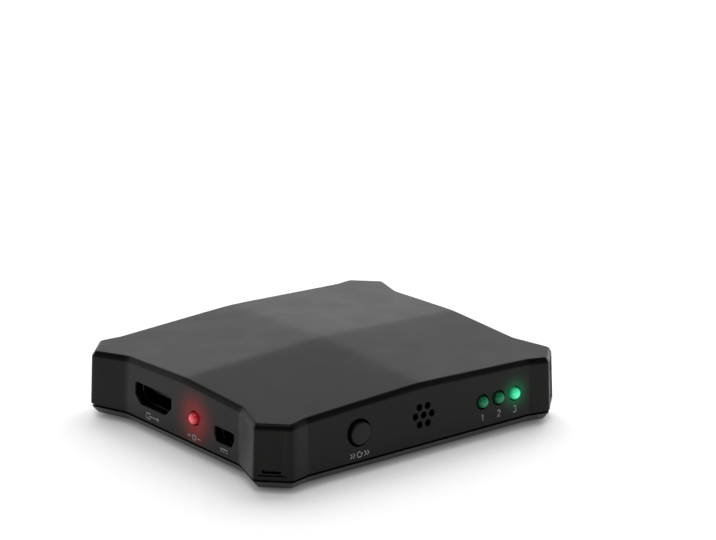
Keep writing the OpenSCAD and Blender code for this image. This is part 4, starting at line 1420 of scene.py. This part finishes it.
@dataclass
class BottomCover:
    """Bottom cover: a bevelled plate with foot and label recesses, locating lip, screw posts and snap arms.

    Attributes:
        plan: Plan of the case.
        plate_in: Inset of the plate at its top.
        bevel: How far its edge slopes in.
        lip_in: Inset of the locating lip.
        lip_t: Thickness of the lip.
        lip_h: Height of the lip above the plate.
        post_r: Radius of a screw post.
        bore_r: Radius of its bore.
        bore_floor: Height of the bore's floor.
        foot_r: Radius of a foot recess.
        foot_sink: Depth of a foot recess.
        label: Half width and half depth of the label recess.
        label_sink: Its depth.
        label_round: Radius of its corners.
        arm: Thickness, half width and top of a snap arm.
        arm_root: How far the arm reaches down into the plate.
        hook: Reach, foot, lip and top of its hook.
        screw_r: Radius of a screw head.
        fillet: Size of the small fillets.
        border: Width of the level border round a foot recess.
        turns: Columns round a post, recess or foot.
        foot: Height of the underside.
        deck: Height of the plate's top.
        board: Height of the board's underside.
        screws: Plan places of the screws.
    """

    plan: CasePlan
    plate_in: float = 0.15
    bevel: float = 1.4
    lip_in: float = 2.35
    lip_t: float = 1.1
    lip_h: float = 1.6
    post_r: float = 2.8
    bore_r: float = 1.06
    bore_floor: float = 2.2
    foot_r: float = 4.1
    foot_sink: float = 0.5
    label: tuple[float, float] = (20.0, 12.5)
    label_sink: float = 0.2
    label_round: float = 1.0
    arm: tuple[float, float, float] = (1.2, 2.0, 5.9)
    arm_root: float = 0.3
    hook: tuple[float, float, float, float] = (0.6, 4.9, 5.25, 5.6)
    screw_r: float = 2.2
    fillet: float = 0.15
    border: float = 0.35
    turns: int = 48
    foot: float = field(init=False)
    deck: float = field(init=False)
    board: float = field(init=False)
    screws: list[tuple[float, float]] = field(init=False)

    def __post_init__(self) -> None:
        """Reads the heights and the screw places from the frame."""
        self.foot = span_of("bottom_cover")[0][2]
        self.deck = span_of("top_cover")[0][2]
        self.board = span_of("circuit_board")[0][2]
        _, high = span_of("board_screws")
        x, y = high[:2] - self.screw_r
        self.screws = [(sx * x, sy * y) for sx in (-1, 1) for sy in (-1, 1)]

    def circle(self, at: tuple[float, float], radius: float) -> Array:
        """Plan points of a circle."""
        a = np.arange(self.turns) * 2 * math.pi / self.turns
        return np.column_stack([at[0] + radius * np.cos(a), at[1] + radius * np.sin(a)])

    def turned(self, draft: Draft, at: tuple[float, float], profile: Array) -> None:
        """Adds a surface of revolution about an upright axis, closed at its end.

        Args:
            draft: Mesh that gets the faces.
            at: Plan place of the axis.
            profile: Radius and height of each row.
        """
        rows = [level(self.circle(at, r), z) for r, z in profile]
        draft.grid(np.stack(rows))
        draft.fan(rows[-1])

    def label_loop(self, inset: float) -> Array:
        """Plan points of the label recess: a rectangle with round corners.

        Args:
            inset: Inset of the loop.

        Returns:
            Points of the loop.
        """
        r = max(self.label_round - inset, 0.2)
        half = np.array(self.label) - inset - r
        a = np.linspace(0, math.pi / 2, 6)
        arc = r * np.column_stack([np.cos(a), np.sin(a)])
        turn = np.array([[0, 1], [-1, 0]])
        parts = []
        for sign in CORNERS:
            parts.append(arc + half * sign)
            arc = arc @ turn
        return np.vstack(parts)

    def build(self) -> Draft:
        """Makes the cover: deck and lip inside, bevelled edge, and an underside with its recesses.

        Returns:
            The drafted mesh.
        """
        draft = Draft()
        deck, foot, small = self.deck, self.foot, self.fillet
        start, end = self.lip_in, self.lip_in + self.lip_t
        top = deck + self.lip_h
        plate, under = self.plate_in, self.plate_in + self.bevel
        run = self.bevel / (deck - foot)
        profile = np.vstack(
            [
                [(end + 0.4, deck), (end + small, deck), (end, deck + small)],
                soften((end, top - 0.2), (end, top), (end - 0.2, top), 2),
                soften((start + 0.2, top), (start, top), (start, top - 0.2), 2),
                [(start, deck + small), (start - small, deck), (0.8, deck)],
                soften((0.5, deck), (plate, deck), (plate + 0.3 * run, deck - 0.3), 4),
                [(plate + 0.5 * run, deck - 0.5), (under - 0.55 * run, foot + 0.55)],
                soften((under - 0.35 * run, foot + 0.35), (under, foot), (under + 0.35, foot), 4),
                [(under + 0.6, foot)],
            ]
        )
        loops = self.plan.outline(profile[:, 0])
        grid = np.stack([level(loop, z) for loop, z in zip(loops, profile[:, 1])])
        draft.grid(grid)
        posts = [self.circle(at, self.post_r + small) for at in self.screws]
        draft.flat(grid[0, :, :2], posts, deck)
        label_border = self.label_loop(-0.3)
        feet = [self.circle(at, self.foot_r + self.border) for at in self.screws]
        draft.flat(grid[-1, :, :2], [*feet, label_border], foot)
        for at in self.screws:
            self.turned(draft, at, self.post_profile())
            self.turned(draft, at, self.recess_profile())
        self.label_recess(draft, label_border)
        self.snap_arms(draft)
        return draft

    def post_profile(self) -> Array:
        """Profile of a screw post: foot fillet, wall, top and bore.

        Returns:
            Radius and height of each row.
        """
        post, bore, top = self.post_r, self.bore_r, self.board
        return np.vstack(
            [
                [(post + self.fillet, self.deck), (post, self.deck + self.fillet)],
                soften((post, top - 0.2), (post, top), (post - 0.2, top), 2),
                [(bore + 0.1, top), (bore, top - 0.1), (bore, self.bore_floor)],
            ]
        )

    def recess_profile(self) -> Array:
        """Profile of a foot recess: round lip, wall and floor.

        Returns:
            Radius and height of each row.
        """
        r, foot = self.foot_r, self.foot
        lip = soften((r + self.fillet, foot), (r, foot), (r, foot + self.fillet), 3)
        return np.vstack([[(r + self.border, foot)], lip, [(r, foot + self.foot_sink)]])

    def label_recess(self, draft: Draft, border: Array) -> None:
        """Adds the sloped sides and the floor of the label recess.

        Args:
            draft: Mesh that gets the faces.
            border: Plan points of the recess's border on the underside.
        """
        top = self.foot + self.label_sink
        steps = [(-0.1, self.foot), (0.1, top), (0.4, top)]
        loops = [level(border, self.foot)] + [level(self.label_loop(d), z) for d, z in steps]
        draft.grid(np.stack(loops))
        draft.flat(loops[-1][:, :2], [], top)

    def snap_arms(self, draft: Draft) -> None:
        """Adds a snap arm behind each corner cut: a side view of arm and hook, carried across its width.

        Args:
            draft: Mesh that gets the faces.
        """
        thick, half, top = self.arm
        reach, hook_foot, hook_lip, hook_top = self.hook
        root = self.deck - self.arm_root
        hook = [(0, hook_foot), (reach, hook_foot), (reach, hook_lip), (0, hook_top)]
        side = np.array([(-thick, root), (0, root), *hook, (0, top), (-thick, top)])
        middle = np.array([self.plan.ear_x, self.plan.ear_y]) - self.plan.corner_cut / 2
        for sign in CORNERS:
            out = np.array(sign) / ROOT2
            across = np.array([-out[1], out[0]])
            aside = np.array([sign[0], -sign[1]]) / ROOT2
            start = middle * sign - self.lip_in * out + self.plan.panel_shift * aside
            rows = []
            for share in (-1.0, -0.95, 0.95, 1.0):
                plan = start + side[:, :1] * out + share * half * across
                rows.append(np.column_stack([plan, side[:, 1]]))
            draft.grid(np.stack(rows))
            draft.cap(rows[0], rows[-1])

    def feet(self) -> Draft:
        """Makes the rubber feet: a sole hollowed a little in the middle, a round rim and a straight wall.

        Returns:
            The drafted mesh.
        """
        draft = Draft()
        r = self.foot_r - 0.1
        top = self.foot + self.foot_sink
        hollow, hollow_r = 0.06, 0.4
        sole = [(hollow_r, hollow), (r * 0.6, hollow / 2)]
        rim = soften((r - 0.45, 0.0), (r, 0.0), (r, 0.4), 5)
        profile = np.vstack([sole, rim, [(r, top - 0.1), (r - 0.1, top)]])
        for at in self.screws:
            self.turned(draft, at, profile)
            draft.fan(level(self.circle(at, hollow_r), hollow))
        return draft

    def dress(self) -> None:
        """Builds the cover and its rubber feet in their finishes, in place of their nodes."""
        self.build().piece("bottom_cover_tray", BASE_ABS, Body.CASE, "bottom_cover")
        self.feet().piece("rubber_feet_set", FOOT_RUBBER, Body.CASE, "rubber_feet")


@dataclass
class FrontFittings:
    """Select button and indicator lamps: bodies turned about axes square to their walls.

    Attributes:
        button_r: Radius of the button.
        button_round: Rounding of its front edge.
        flange_r: Radius of its flange.
        flange_t: Thickness of its flange.
        flange_flat: Half height of its flange, which is cut level above and below.
        crown: Rise of its face in the middle.
        stem_r: Radius of its stem.
        stem_len: Length of its stem.
        lamp_r: Radius of a lamp lens.
        lamp_rim: How far its rim stands out.
        lamp_rim_t: Thickness of its rim.
        die_in: Distance of a lamp's brightest place behind its tip.
        chamfer: Width of the small chamfers.
        turns: Columns round a body.
    """

    button_r: float = 2.75
    button_round: float = 0.35
    flange_r: float = 4.05
    flange_t: float = 0.8
    flange_flat: float = 3.55
    crown: float = 0.12
    stem_r: float = 1.5
    stem_len: float = 0.7
    lamp_r: float = 1.5
    lamp_rim: float = 0.4
    lamp_rim_t: float = 1.0
    die_in: float = 0.3
    chamfer: float = 0.1
    turns: int = 64

    def turned(self, draft: Draft, wall: Wall, along: float, z: float, tip: float, profile: Array) -> None:
        """Adds a body of revolution about an axis square to a wall, closed at both ends.

        Args:
            draft: Mesh that gets the faces.
            wall: Wall that the body stands in.
            along: Plan coordinate of the axis.
            z: Height of the axis.
            tip: Distance of the body's tip from the middle of the case.
            profile: Radius and depth behind the tip of each row.
        """
        a = np.arange(self.turns) * 2 * math.pi / self.turns
        r, depth = profile.T[:, :, None]
        up = np.clip(r * np.sin(a), -self.flange_flat, self.flange_flat)
        rows = wall.place(along + r * np.cos(a), tip - depth, z + up)
        draft.grid(rows)
        draft.fan(rows[0])
        draft.fan(rows[-1])

    def button(self) -> Draft:
        """Makes the button: crowned face, round edge, barrel, flange and stem.

        Returns:
            The drafted mesh.
        """
        low, high = span_of("select_button")
        at = middle_of("select_button")
        deep = high[1] - low[1]
        flange_back = deep - self.stem_len
        flange_front = flange_back - self.flange_t
        r, stem, small = self.button_r, self.stem_r, self.chamfer
        inner = np.linspace(small, r - self.button_round, 8)
        face = np.column_stack([inner, self.crown * (inner / r) ** 2])
        edge = soften(face[-1], (r, self.crown), (r, self.crown + self.button_round), 6)
        profile = np.vstack(
            [
                face[:-1],
                edge,
                [(r, edge[-1, 1] + 0.15), (r, flange_front)],
                [(self.flange_r, flange_front), (self.flange_r, flange_back)],
                [(stem, flange_back), (stem, deep - small), (stem - small, deep)],
            ]
        )
        draft = Draft()
        self.turned(draft, Wall.FRONT, at[0], at[2], -low[1], profile)
        return draft

    def lens(self, wall: Wall, node: str) -> Draft:
        """Makes a lamp lens: half a ball, a barrel and a rim.

        Args:
            wall: Wall that the lamp stands in.
            node: Node of the lamp.

        Returns:
            The drafted mesh.
        """
        low, high = span_of(node)
        at = middle_of(node)
        axis = 1 if wall is Wall.FRONT else 0
        deep = high[axis] - low[axis]
        a = np.linspace(0.06, math.pi / 2, 14)
        dome = self.lamp_r * np.column_stack([np.sin(a), 1 - np.cos(a)])
        rim, small = self.lamp_r + self.lamp_rim, self.chamfer
        barrel = deep - self.lamp_rim_t
        profile = np.vstack(
            [
                dome,
                [(self.lamp_r, 2.0), (self.lamp_r, barrel)],
                [(rim - small, barrel), (rim, barrel + small)],
                [(rim, deep - small), (rim - small, deep)],
            ]
        )
        draft = Draft()
        self.turned(draft, wall, at[1 - axis], at[2], -low[axis], profile)
        return draft

    def lamp(self, node: str, wall: Wall, kind: LampFinish) -> None:
        """Builds one lamp, with the brightest place of its epoxy just behind its tip.

        Args:
            node: Node of the lamp.
            wall: Wall that it stands in.
            kind: Finish of this kind of lamp.
        """
        low, _ = span_of(node)
        die = middle_of(node)
        axis = 1 if wall is Wall.FRONT else 0
        die[axis] = low[axis] + self.die_in
        finish = replace(kind, name=f"{kind.name}_{node}", die=tuple(float(v) for v in die))
        self.lens(wall, node).piece(f"{node}_lens", finish, Body.CASE, node)

    def dress(self) -> None:
        """Builds the button and the lamps in their finishes, in place of their nodes."""
        self.button().piece("select_button_cap", BUTTON_ABS, Body.BUTTON, "select_button")
        # Lamps 1 and 2 are unlit, and their glow is painted light; lamp 3 is lit
        for i, kind in zip(INPUTS, (GREEN_UNLIT_PAINTED_GLOW, GREEN_UNLIT_PAINTED_GLOW, GREEN_LIT)):
            self.lamp(f"input_lamp_{i}", Wall.FRONT, kind)
        self.lamp("power_lamp", Wall.LEFT, RED_LIT)


@dataclass
class Sockets:
    """Metal shells of the sockets: a mouth carried back as a tube with a rolled lip, and four board legs.

    Attributes:
        lip_len: Length of the tube's first stretch, which holds the rolled lip.
        leg_w: Width of a leg.
        leg_over: How far the legs start above the axis.
        leg_point: Height of the pointed foot of a leg.
        across: Columns on the lower and upper sides of a mouth.
        up: Columns on its left and right sides.
    """

    lip_len: float = 0.6
    leg_w: float = 1.4
    leg_over: float = 0.6
    leg_point: float = 0.5
    across: int = 22
    up: int = 10

    def build(self, wall: Wall, node: str, port: Port) -> Draft:
        """Makes one shell.

        Args:
            wall: Wall that the mouth faces.
            node: Node of the shell.
            port: Its kind.

        Returns:
            The drafted mesh.
        """
        low, high = span_of(node)
        nx, ny, sense = wall.value
        axis = 0 if nx else 1
        along = wall.along(middle_of(node))
        deep = high[axis] - low[axis]
        out = high[axis] if nx + ny > 0 else -low[axis]
        z = high[2] - SHEET_T - port.mouth.height / 2
        square = square_loop(self.across, self.up)
        half = SHEET_T / 2
        a = np.linspace(-math.pi / 2, math.pi / 2, 7)
        lip = np.column_stack([half + half * np.sin(a), half - half * np.cos(a)])
        profile = np.vstack([[(0, deep), (0, self.lip_len)], lip, [(SHEET_T, self.lip_len), (SHEET_T, deep)]])
        rows = []
        for grow, depth in profile:
            loop = port.mouth.loop(square, grow)
            rows.append(wall.place(along + sense * loop[:, 0], out - depth, z + loop[:, 1]))
        draft = Draft()
        draft.grid(np.stack(rows), closed=True)
        aside = (port.mouth.width + SHEET_T) / 2
        for side in (-1, 1):
            for back in port.legs:
                self.leg(draft, wall, along + side * aside, out - back, z, low[2])
        return draft

    def leg(self, draft: Draft, wall: Wall, along: float, out: float, top: float, foot: float) -> None:
        """Adds one leg: a strip with a pointed foot, carried across the sheet's thickness.

        Args:
            draft: Mesh that gets the faces.
            wall: Wall that the socket faces.
            along: Plan coordinate of the leg.
            out: Distance of its middle from the middle of the case.
            top: Height of the socket's axis.
            foot: Height of the leg's foot.
        """
        w = self.leg_w / 2
        top = top + self.leg_over
        knee = foot + self.leg_point
        side = np.array([(-w, top), (-w, knee), (-w / 2, foot), (w / 2, foot), (w, knee), (w, top)])
        half = SHEET_T / 2
        rows = [wall.place(along + s * half, out + side[:, 0], side[:, 1]) for s in (-1, 1)]
        draft.grid(np.stack(rows))
        draft.cap(*rows)

    def dress(self) -> None:
        """Builds the shells in their finish, in place of their nodes."""
        for wall, node, port in port_places():
            self.build(wall, node, port).piece(f"{node}_sheet", NICKEL_PAINTED_SHADE, Body.CASE, node)


class Sign(Enum):
    """Printed signs: plain numerals, and plain pictures of what a port or button does."""

    ONE = 1
    TWO = 2
    THREE = 3
    NEXT = 4
    OUT = 5
    ON = 6
    SUPPLY = 7


def arc(x: float, y: float, r: float, start: float, stop: float) -> Array:
    """Points of an arc about a place, with angles in degrees."""
    a = np.radians(np.linspace(start, stop, max(6, int(abs(stop - start) / 12))))
    return np.column_stack([x + r * np.cos(a), y + r * np.sin(a)])


def line(*points: tuple[float, float]) -> Array:
    """Points of a bent line, as an array."""
    return np.array(points, float)


@dataclass
class Signs:
    """White printed signs: strokes of even width laid on the leaning walls.

    Attributes:
        cover: Top cover that they are printed on.
        stroke: Width of a stroke.
        film: How far the ink stands proud of the wall.
        key: How far its edge reaches into the wall's grain.
        numeral_z: Height of the numerals' middles.
        sign_z: Height of the other signs' middles.
    """

    cover: TopCover
    stroke: float = 0.24
    film: float = 0.015
    key: float = 0.03
    numeral_z: float = 5.75
    sign_z: float = 5.0

    def strokes(self, sign: Sign) -> list[Array]:
        """Strokes of a sign about its middle, one and a half millimetres or so tall.

        Args:
            sign: The sign.

        Returns:
            Points of each stroke.
        """
        match sign:
            case Sign.ONE:
                return [line((-0.32, 0.42), (0.02, 0.78), (0.02, -0.8))]
            case Sign.TWO:
                return [np.vstack([arc(0, 0.36, 0.42, 165, -38), line((-0.45, -0.78), (0.46, -0.78))])]
            case Sign.THREE:
                return [np.vstack([arc(-0.02, 0.4, 0.38, 150, -80), arc(-0.02, -0.38, 0.42, 85, -150)])]
            case Sign.NEXT:
                chevron = line((-0.3, 0.6), (0.25, 0.0), (-0.3, -0.6))
                return [chevron + (dx, 0) for dx in (-2.4, -1.6, 1.7, 2.5)] + [
                    arc(0, 0, 0.66, 70, 360),
                    line((0.28, 0.28), (0.66, 0.0), (1.0, 0.34)),
                ]
            case Sign.OUT:
                return [
                    line((-0.9, 0.62), (-2.6, 0.62), (-2.6, -0.62), (-0.9, -0.62)),
                    line((-1.6, 0.0), (2.4, 0.0)),
                    line((1.8, 0.5), (2.45, 0.0), (1.8, -0.5)),
                ]
            case Sign.ON:
                return [
                    arc(0, -0.05, 0.68, 120, 420),
                    line((0, 0.1), (0, 0.85)),
                    line((-2.6, -0.05), (-1.4, -0.05)),
                    line((1.4, -0.05), (2.6, -0.05)),
                ]
            case Sign.SUPPLY:
                return [line((-1.4, 0.3), (1.4, 0.3))] + [
                    line((x - 0.3, -0.3), (x + 0.3, -0.3)) for x in (-1.1, 0.0, 1.1)
                ]

    def lay(self, draft: Draft, wall: Wall, along: float, z: float, sign: Sign) -> None:
        """Lays one sign on a wall: each stroke is a thin box carried along its line.

        Args:
            draft: Mesh that gets the faces.
            wall: Wall that gets the sign.
            along: Plan coordinate of the sign's middle.
            z: Height of its middle.
            sign: The sign.
        """
        for path in self.strokes(sign):
            step = np.gradient(path, axis=0)
            step /= np.linalg.norm(step, axis=1, keepdims=True)
            across = np.column_stack([-step[:, 1], step[:, 0]]) * self.stroke / 2
            rows = []
            for side, proud in ((1, self.film), (-1, self.film), (-1, -self.key), (1, -self.key)):
                at = path + side * across
                u = along + wall.value[2] * at[:, 0]
                height = z + at[:, 1]
                rows.append(wall.place(u, self.cover.out_at(wall, u, height) + proud, height))
            strip = np.stack(rows, axis=1)
            draft.grid(strip)
            draft.cap(strip[0], strip[-1])

    def dress(self) -> None:
        """Builds the signs of the front and of the left end in ink."""
        front, left = Draft(), Draft()
        for i, sign in zip(INPUTS, (Sign.ONE, Sign.TWO, Sign.THREE)):
            self.lay(front, Wall.FRONT, middle_of(f"input_lamp_{i}")[0], self.numeral_z, sign)
        self.lay(front, Wall.FRONT, middle_of("select_button")[0], self.sign_z, Sign.NEXT)
        places = (("hdmi_out_shell", Sign.OUT), ("power_lamp", Sign.ON), ("mini_usb_shell", Sign.SUPPLY))
        for node, sign in places:
            self.lay(left, Wall.LEFT, middle_of(node)[1], self.sign_z, sign)
        front.piece("front_signs", INK, Body.CASE)
        left.piece("left_signs", INK, Body.CASE)


@dataclass
class InnerParts:
    """Parts inside the case that keep their frame meshes and get their own finishes.

    Attributes:
        finishes: Finish of each material slot.
    """

    finishes: tuple[Finish, ...] = (
        ZINC, NYLON, TIN_SHEET, PHENOLIC, TIN_LEAD, INFRARED,
        LCP, GOLD, MASK, COMPOUND, ALUMINIUM, CERAMIC,
    )

    def dress(self) -> None:
        """Gives every node that still shows the finish of its slot."""
        by_slot = {finish.slot.value: finish for finish in self.finishes}
        for row in frame["record"]["subparts"]:
            node = frame["nodes"][row["node"]]
            if node.hide_render:
                continue
            finish = by_slot[row["material_slot"]]
            for place in node.material_slots:
                place.material = finish.material()
            LOG.info("%s: %s", row["node"], finish.name)


@dataclass
class Studio:
    """Pale floor, soft light from above and behind, bright low surroundings, and the camera.

    Attributes:
        focus: Point that the camera looks at.
        azimuth: Turn of the camera round the case, in degrees.
        elevation: Its height above the horizon, in degrees.
        roll: Its tilt, in degrees.
        distance: Its distance from the focus.
        focal: Focal length in pixels of a picture of the picture width.
        picture_width: Width of that picture, in pixels.
        sensor: Width of the camera's sensor.
        floor_half: Half side of the floor.
        floor_colour: Colour of the floor, sRGB hex.
        floor_lift: Light that the floor shows beyond what falls on it.
        contact_reach: Distance from the case within which the lift fades, a painted contact shadow on the
            floor.
        contact_span: Open shares of the sky over the floor at which the lift starts and is whole, setting how
            deep that painted shadow goes.
        low_span: Sines of the heights at which the surroundings start and end to darken.
        low_levels: Their shares of brightness below and above.
        ahead_span: Cosines of the turn from the view at which the backdrop starts and is whole.
        ahead_levels: Brightness of the surroundings behind the camera and of the backdrop.
        spill_cone: Width of the cone of a lamp's spill.
        spill_size: Radius of its source.
        lit_case: Collection of what the spill of the lamps falls on.
    """

    focus: tuple[float, float, float] = (64.236, 67.675, 6.319)
    azimuth: float = -38.243
    elevation: float = 17.928
    roll: float = 0.084
    distance: float = 1057.65
    focal: float = 4040.86
    picture_width: float = 716.0
    sensor: float = 36.0
    floor_half: float = 3000.0
    floor_colour: str = "#dadada"
    floor_lift: float = 0.32
    contact_reach: float = 8.0
    contact_span: tuple[float, float] = (-0.12, 0.62)
    low_span: tuple[float, float] = (0.24, 0.78)
    low_levels: tuple[float, float] = (1.0, 0.08)
    ahead_span: tuple[float, float] = (-0.2, 0.7)
    ahead_levels: tuple[float, float] = (0.4, 1.33)
    spill_cone: float = math.radians(115)
    spill_size: float = 0.6
    lit_case: bpy.types.Collection | None = None

    def camera(self) -> None:
        """Makes the camera at the fitted viewpoint."""
        a = math.radians(self.azimuth)
        e = math.radians(self.elevation)
        r = math.radians(self.roll)
        back = Vector((math.sin(a) * math.cos(e), -math.cos(a) * math.cos(e), math.sin(e)))
        right = Vector((math.cos(a), math.sin(a), 0))
        up = back.cross(right)
        side = right * math.cos(r) + up * math.sin(r)
        top = up * math.cos(r) - right * math.sin(r)
        data = bpy.data.cameras.new("camera")
        data.sensor_width = self.sensor
        data.lens = self.focal * self.sensor / self.picture_width
        data.clip_start = 0.05
        made = put("camera", data)
        turn = Matrix((side, top, back)).transposed().to_4x4()
        made.matrix_world = Matrix.Translation((Vector(self.focus) + back * self.distance) * MM) @ turn
        bpy.context.scene.camera = made

    def floor(self) -> None:
        """Makes the floor: one flat face with a pale finish that keeps the shadow, and a glow that fades near
        the case into a painted contact shadow.
        """
        points = np.column_stack([np.array(CORNERS) * self.floor_half * MM, np.zeros(4)])
        mesh = bpy.data.meshes.new("floor")
        mesh.from_pydata(points.tolist(), [], [(0, 1, 2, 3)])
        made = put("floor", mesh)
        pale = bpy.data.materials.new("pale_floor")
        pale.use_nodes = True
        tree = pale.node_tree
        tree.nodes.clear()
        paper = add_node(tree, "ShaderNodeBsdfDiffuse", values={"Color": linear(self.floor_colour)})
        path = add_node(tree, "ShaderNodeLightPath")
        seen = path.outputs["Is Camera Ray"]
        for kind in ("Is Glossy Ray", "Is Transmission Ray"):
            seen = add_node(
                tree, "ShaderNodeMath", {"operation": "MAXIMUM"}, links={0: seen, 1: path.outputs[kind]}
            ).outputs[0]
        # Painted contact shadow: the floor's glow fades where ambient occlusion finds the case close by
        open_share = add_node(
            tree, "ShaderNodeAmbientOcclusion", values={"Distance": self.contact_reach * MM}
        ).outputs["AO"]
        start, end = self.contact_span
        span = {"From Min": start, "From Max": end, "To Max": self.floor_lift}
        near = add_node(tree, "ShaderNodeMapRange", values=span, links={"Value": open_share}).outputs[0]
        lift = add_node(
            tree, "ShaderNodeMath", {"operation": "MULTIPLY"}, links={0: seen, 1: near}
        ).outputs[0]
        glow = add_node(tree, "ShaderNodeEmission", links={"Strength": lift})
        both = add_node(tree, "ShaderNodeAddShader", links={0: paper.outputs[0], 1: glow.outputs[0]})
        add_node(tree, "ShaderNodeOutputMaterial", links={"Surface": both.outputs[0]})
        mesh.materials.append(pale)

    def surroundings(self) -> None:
        """Lights the surroundings: a bright low backdrop behind the case, less at its sides, dim overhead."""
        world = bpy.data.worlds.new("studio")
        bpy.context.scene.world = world
        world.use_nodes = True
        tree = world.node_tree
        tree.nodes.clear()
        way = add_node(tree, "ShaderNodeTexCoord").outputs["Generated"]
        height = add_node(tree, "ShaderNodeSeparateXYZ", links={0: way}).outputs["Z"]
        a = math.radians(self.azimuth)
        view = {1: (-math.sin(a), math.cos(a), 0.0)}
        ahead = add_node(
            tree, "ShaderNodeVectorMath", {"operation": "DOT_PRODUCT"}, view, {0: way}
        ).outputs["Value"]
        smooth = {"interpolation_type": "SMOOTHSTEP"}
        shares = []
        for value, span, levels in (
            (height, self.low_span, self.low_levels),
            (ahead, self.ahead_span, self.ahead_levels),
        ):
            ends = {"From Min": span[0], "From Max": span[1], "To Min": levels[0], "To Max": levels[1]}
            share = add_node(tree, "ShaderNodeMapRange", smooth, ends, {"Value": value})
            shares.append(share.outputs[0])
        strength = add_node(
            tree, "ShaderNodeMath", {"operation": "MULTIPLY"}, links={0: shares[0], 1: shares[1]}
        ).outputs[0]
        light = add_node(tree, "ShaderNodeBackground", links={"Strength": strength})
        add_node(tree, "ShaderNodeOutputWorld", links={"Surface": light.outputs[0]})

    def softbox(
        self, name: str, place: tuple[float, float, float], size: float, power: float, seen: bool
    ) -> None:
        """Adds a square soft light that faces the case.

        Args:
            name: Name of the light.
            place: Its place, in millimetres.
            size: Its side, in millimetres.
            power: Its power, in watts.
            seen: Whether glossy surfaces mirror it.
        """
        data = bpy.data.lights.new(name, "AREA")
        data.size = size * MM
        data.energy = power
        made = put(name, data)
        made.matrix_world = Matrix.Translation(Vector(place) * MM) @ (
            Vector(place).to_track_quat("Z", "Y").to_matrix().to_4x4()
        )
        made.visible_glossy = seen

    def spill(self, node: str, toward: tuple[float, float, float], colour: str, power: float) -> None:
        """Adds the light that a lit lamp throws on the wall round it.

        Args:
            node: Node of the lamp.
            toward: Step from the middle of the lamp to the light, in millimetres.
            colour: Colour of the light, sRGB hex.
            power: Its power, in watts.
        """
        data = bpy.data.lights.new(f"{node}_spill", "SPOT")
        data.color = linear(colour)[:3]
        data.energy = power
        data.shadow_soft_size = self.spill_size * MM
        data.spot_size = self.spill_cone
        data.spot_blend = 1.0
        made = put(f"{node}_spill", data)
        made.matrix_world = Matrix.Translation(Vector((middle_of(node) + toward) * MM)) @ (
            Vector(toward).to_track_quat("Z", "Y").to_matrix().to_4x4()
        )
        made.visible_camera = False
        made.visible_glossy = False
        made.light_linking.receiver_collection = self.lit_case

    def dress(self, shell: bpy.types.Object) -> None:
        """Sets up floor, lights, surroundings and view.

        Args:
            shell: Top cover, the one piece that the spill of the lamps falls on.
        """
        self.lit_case = bpy.data.collections.new("lamp_spill")
        self.lit_case.objects.link(shell)
        self.floor()
        self.surroundings()
        self.softbox("rear_softbox", place=(640.0, 630.0, 1050.0), size=1700.0, power=31.0, seen=False)
        self.softbox("top_softbox", place=(-350.0, -160.0, 1100.0), size=480.0, power=1.6, seen=True)
        self.spill("power_lamp", toward=(-8.0, 0.0, 0.0), colour="#ff2028", power=0.12)
        self.spill("input_lamp_3", toward=(0.0, -5.5, 0.0), colour="#10ff98", power=0.024)
        bpy.context.scene.view_settings.view_transform = "Standard"


def main() -> None:
    """Builds the camera and floor, then each sub-assembly in order."""
    logging.basicConfig(level=logging.INFO, format="%(name)s %(message)s")
    studio = Studio()
    studio.camera()
    cover = TopCover()
    shell = cover.dress()
    BottomCover(cover.plan).dress()
    FrontFittings().dress()
    Sockets().dress()
    Signs(cover).dress()
    InnerParts().dress()
    studio.dress(shell)
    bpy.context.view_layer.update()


if __name__ == "__main__":
    main()
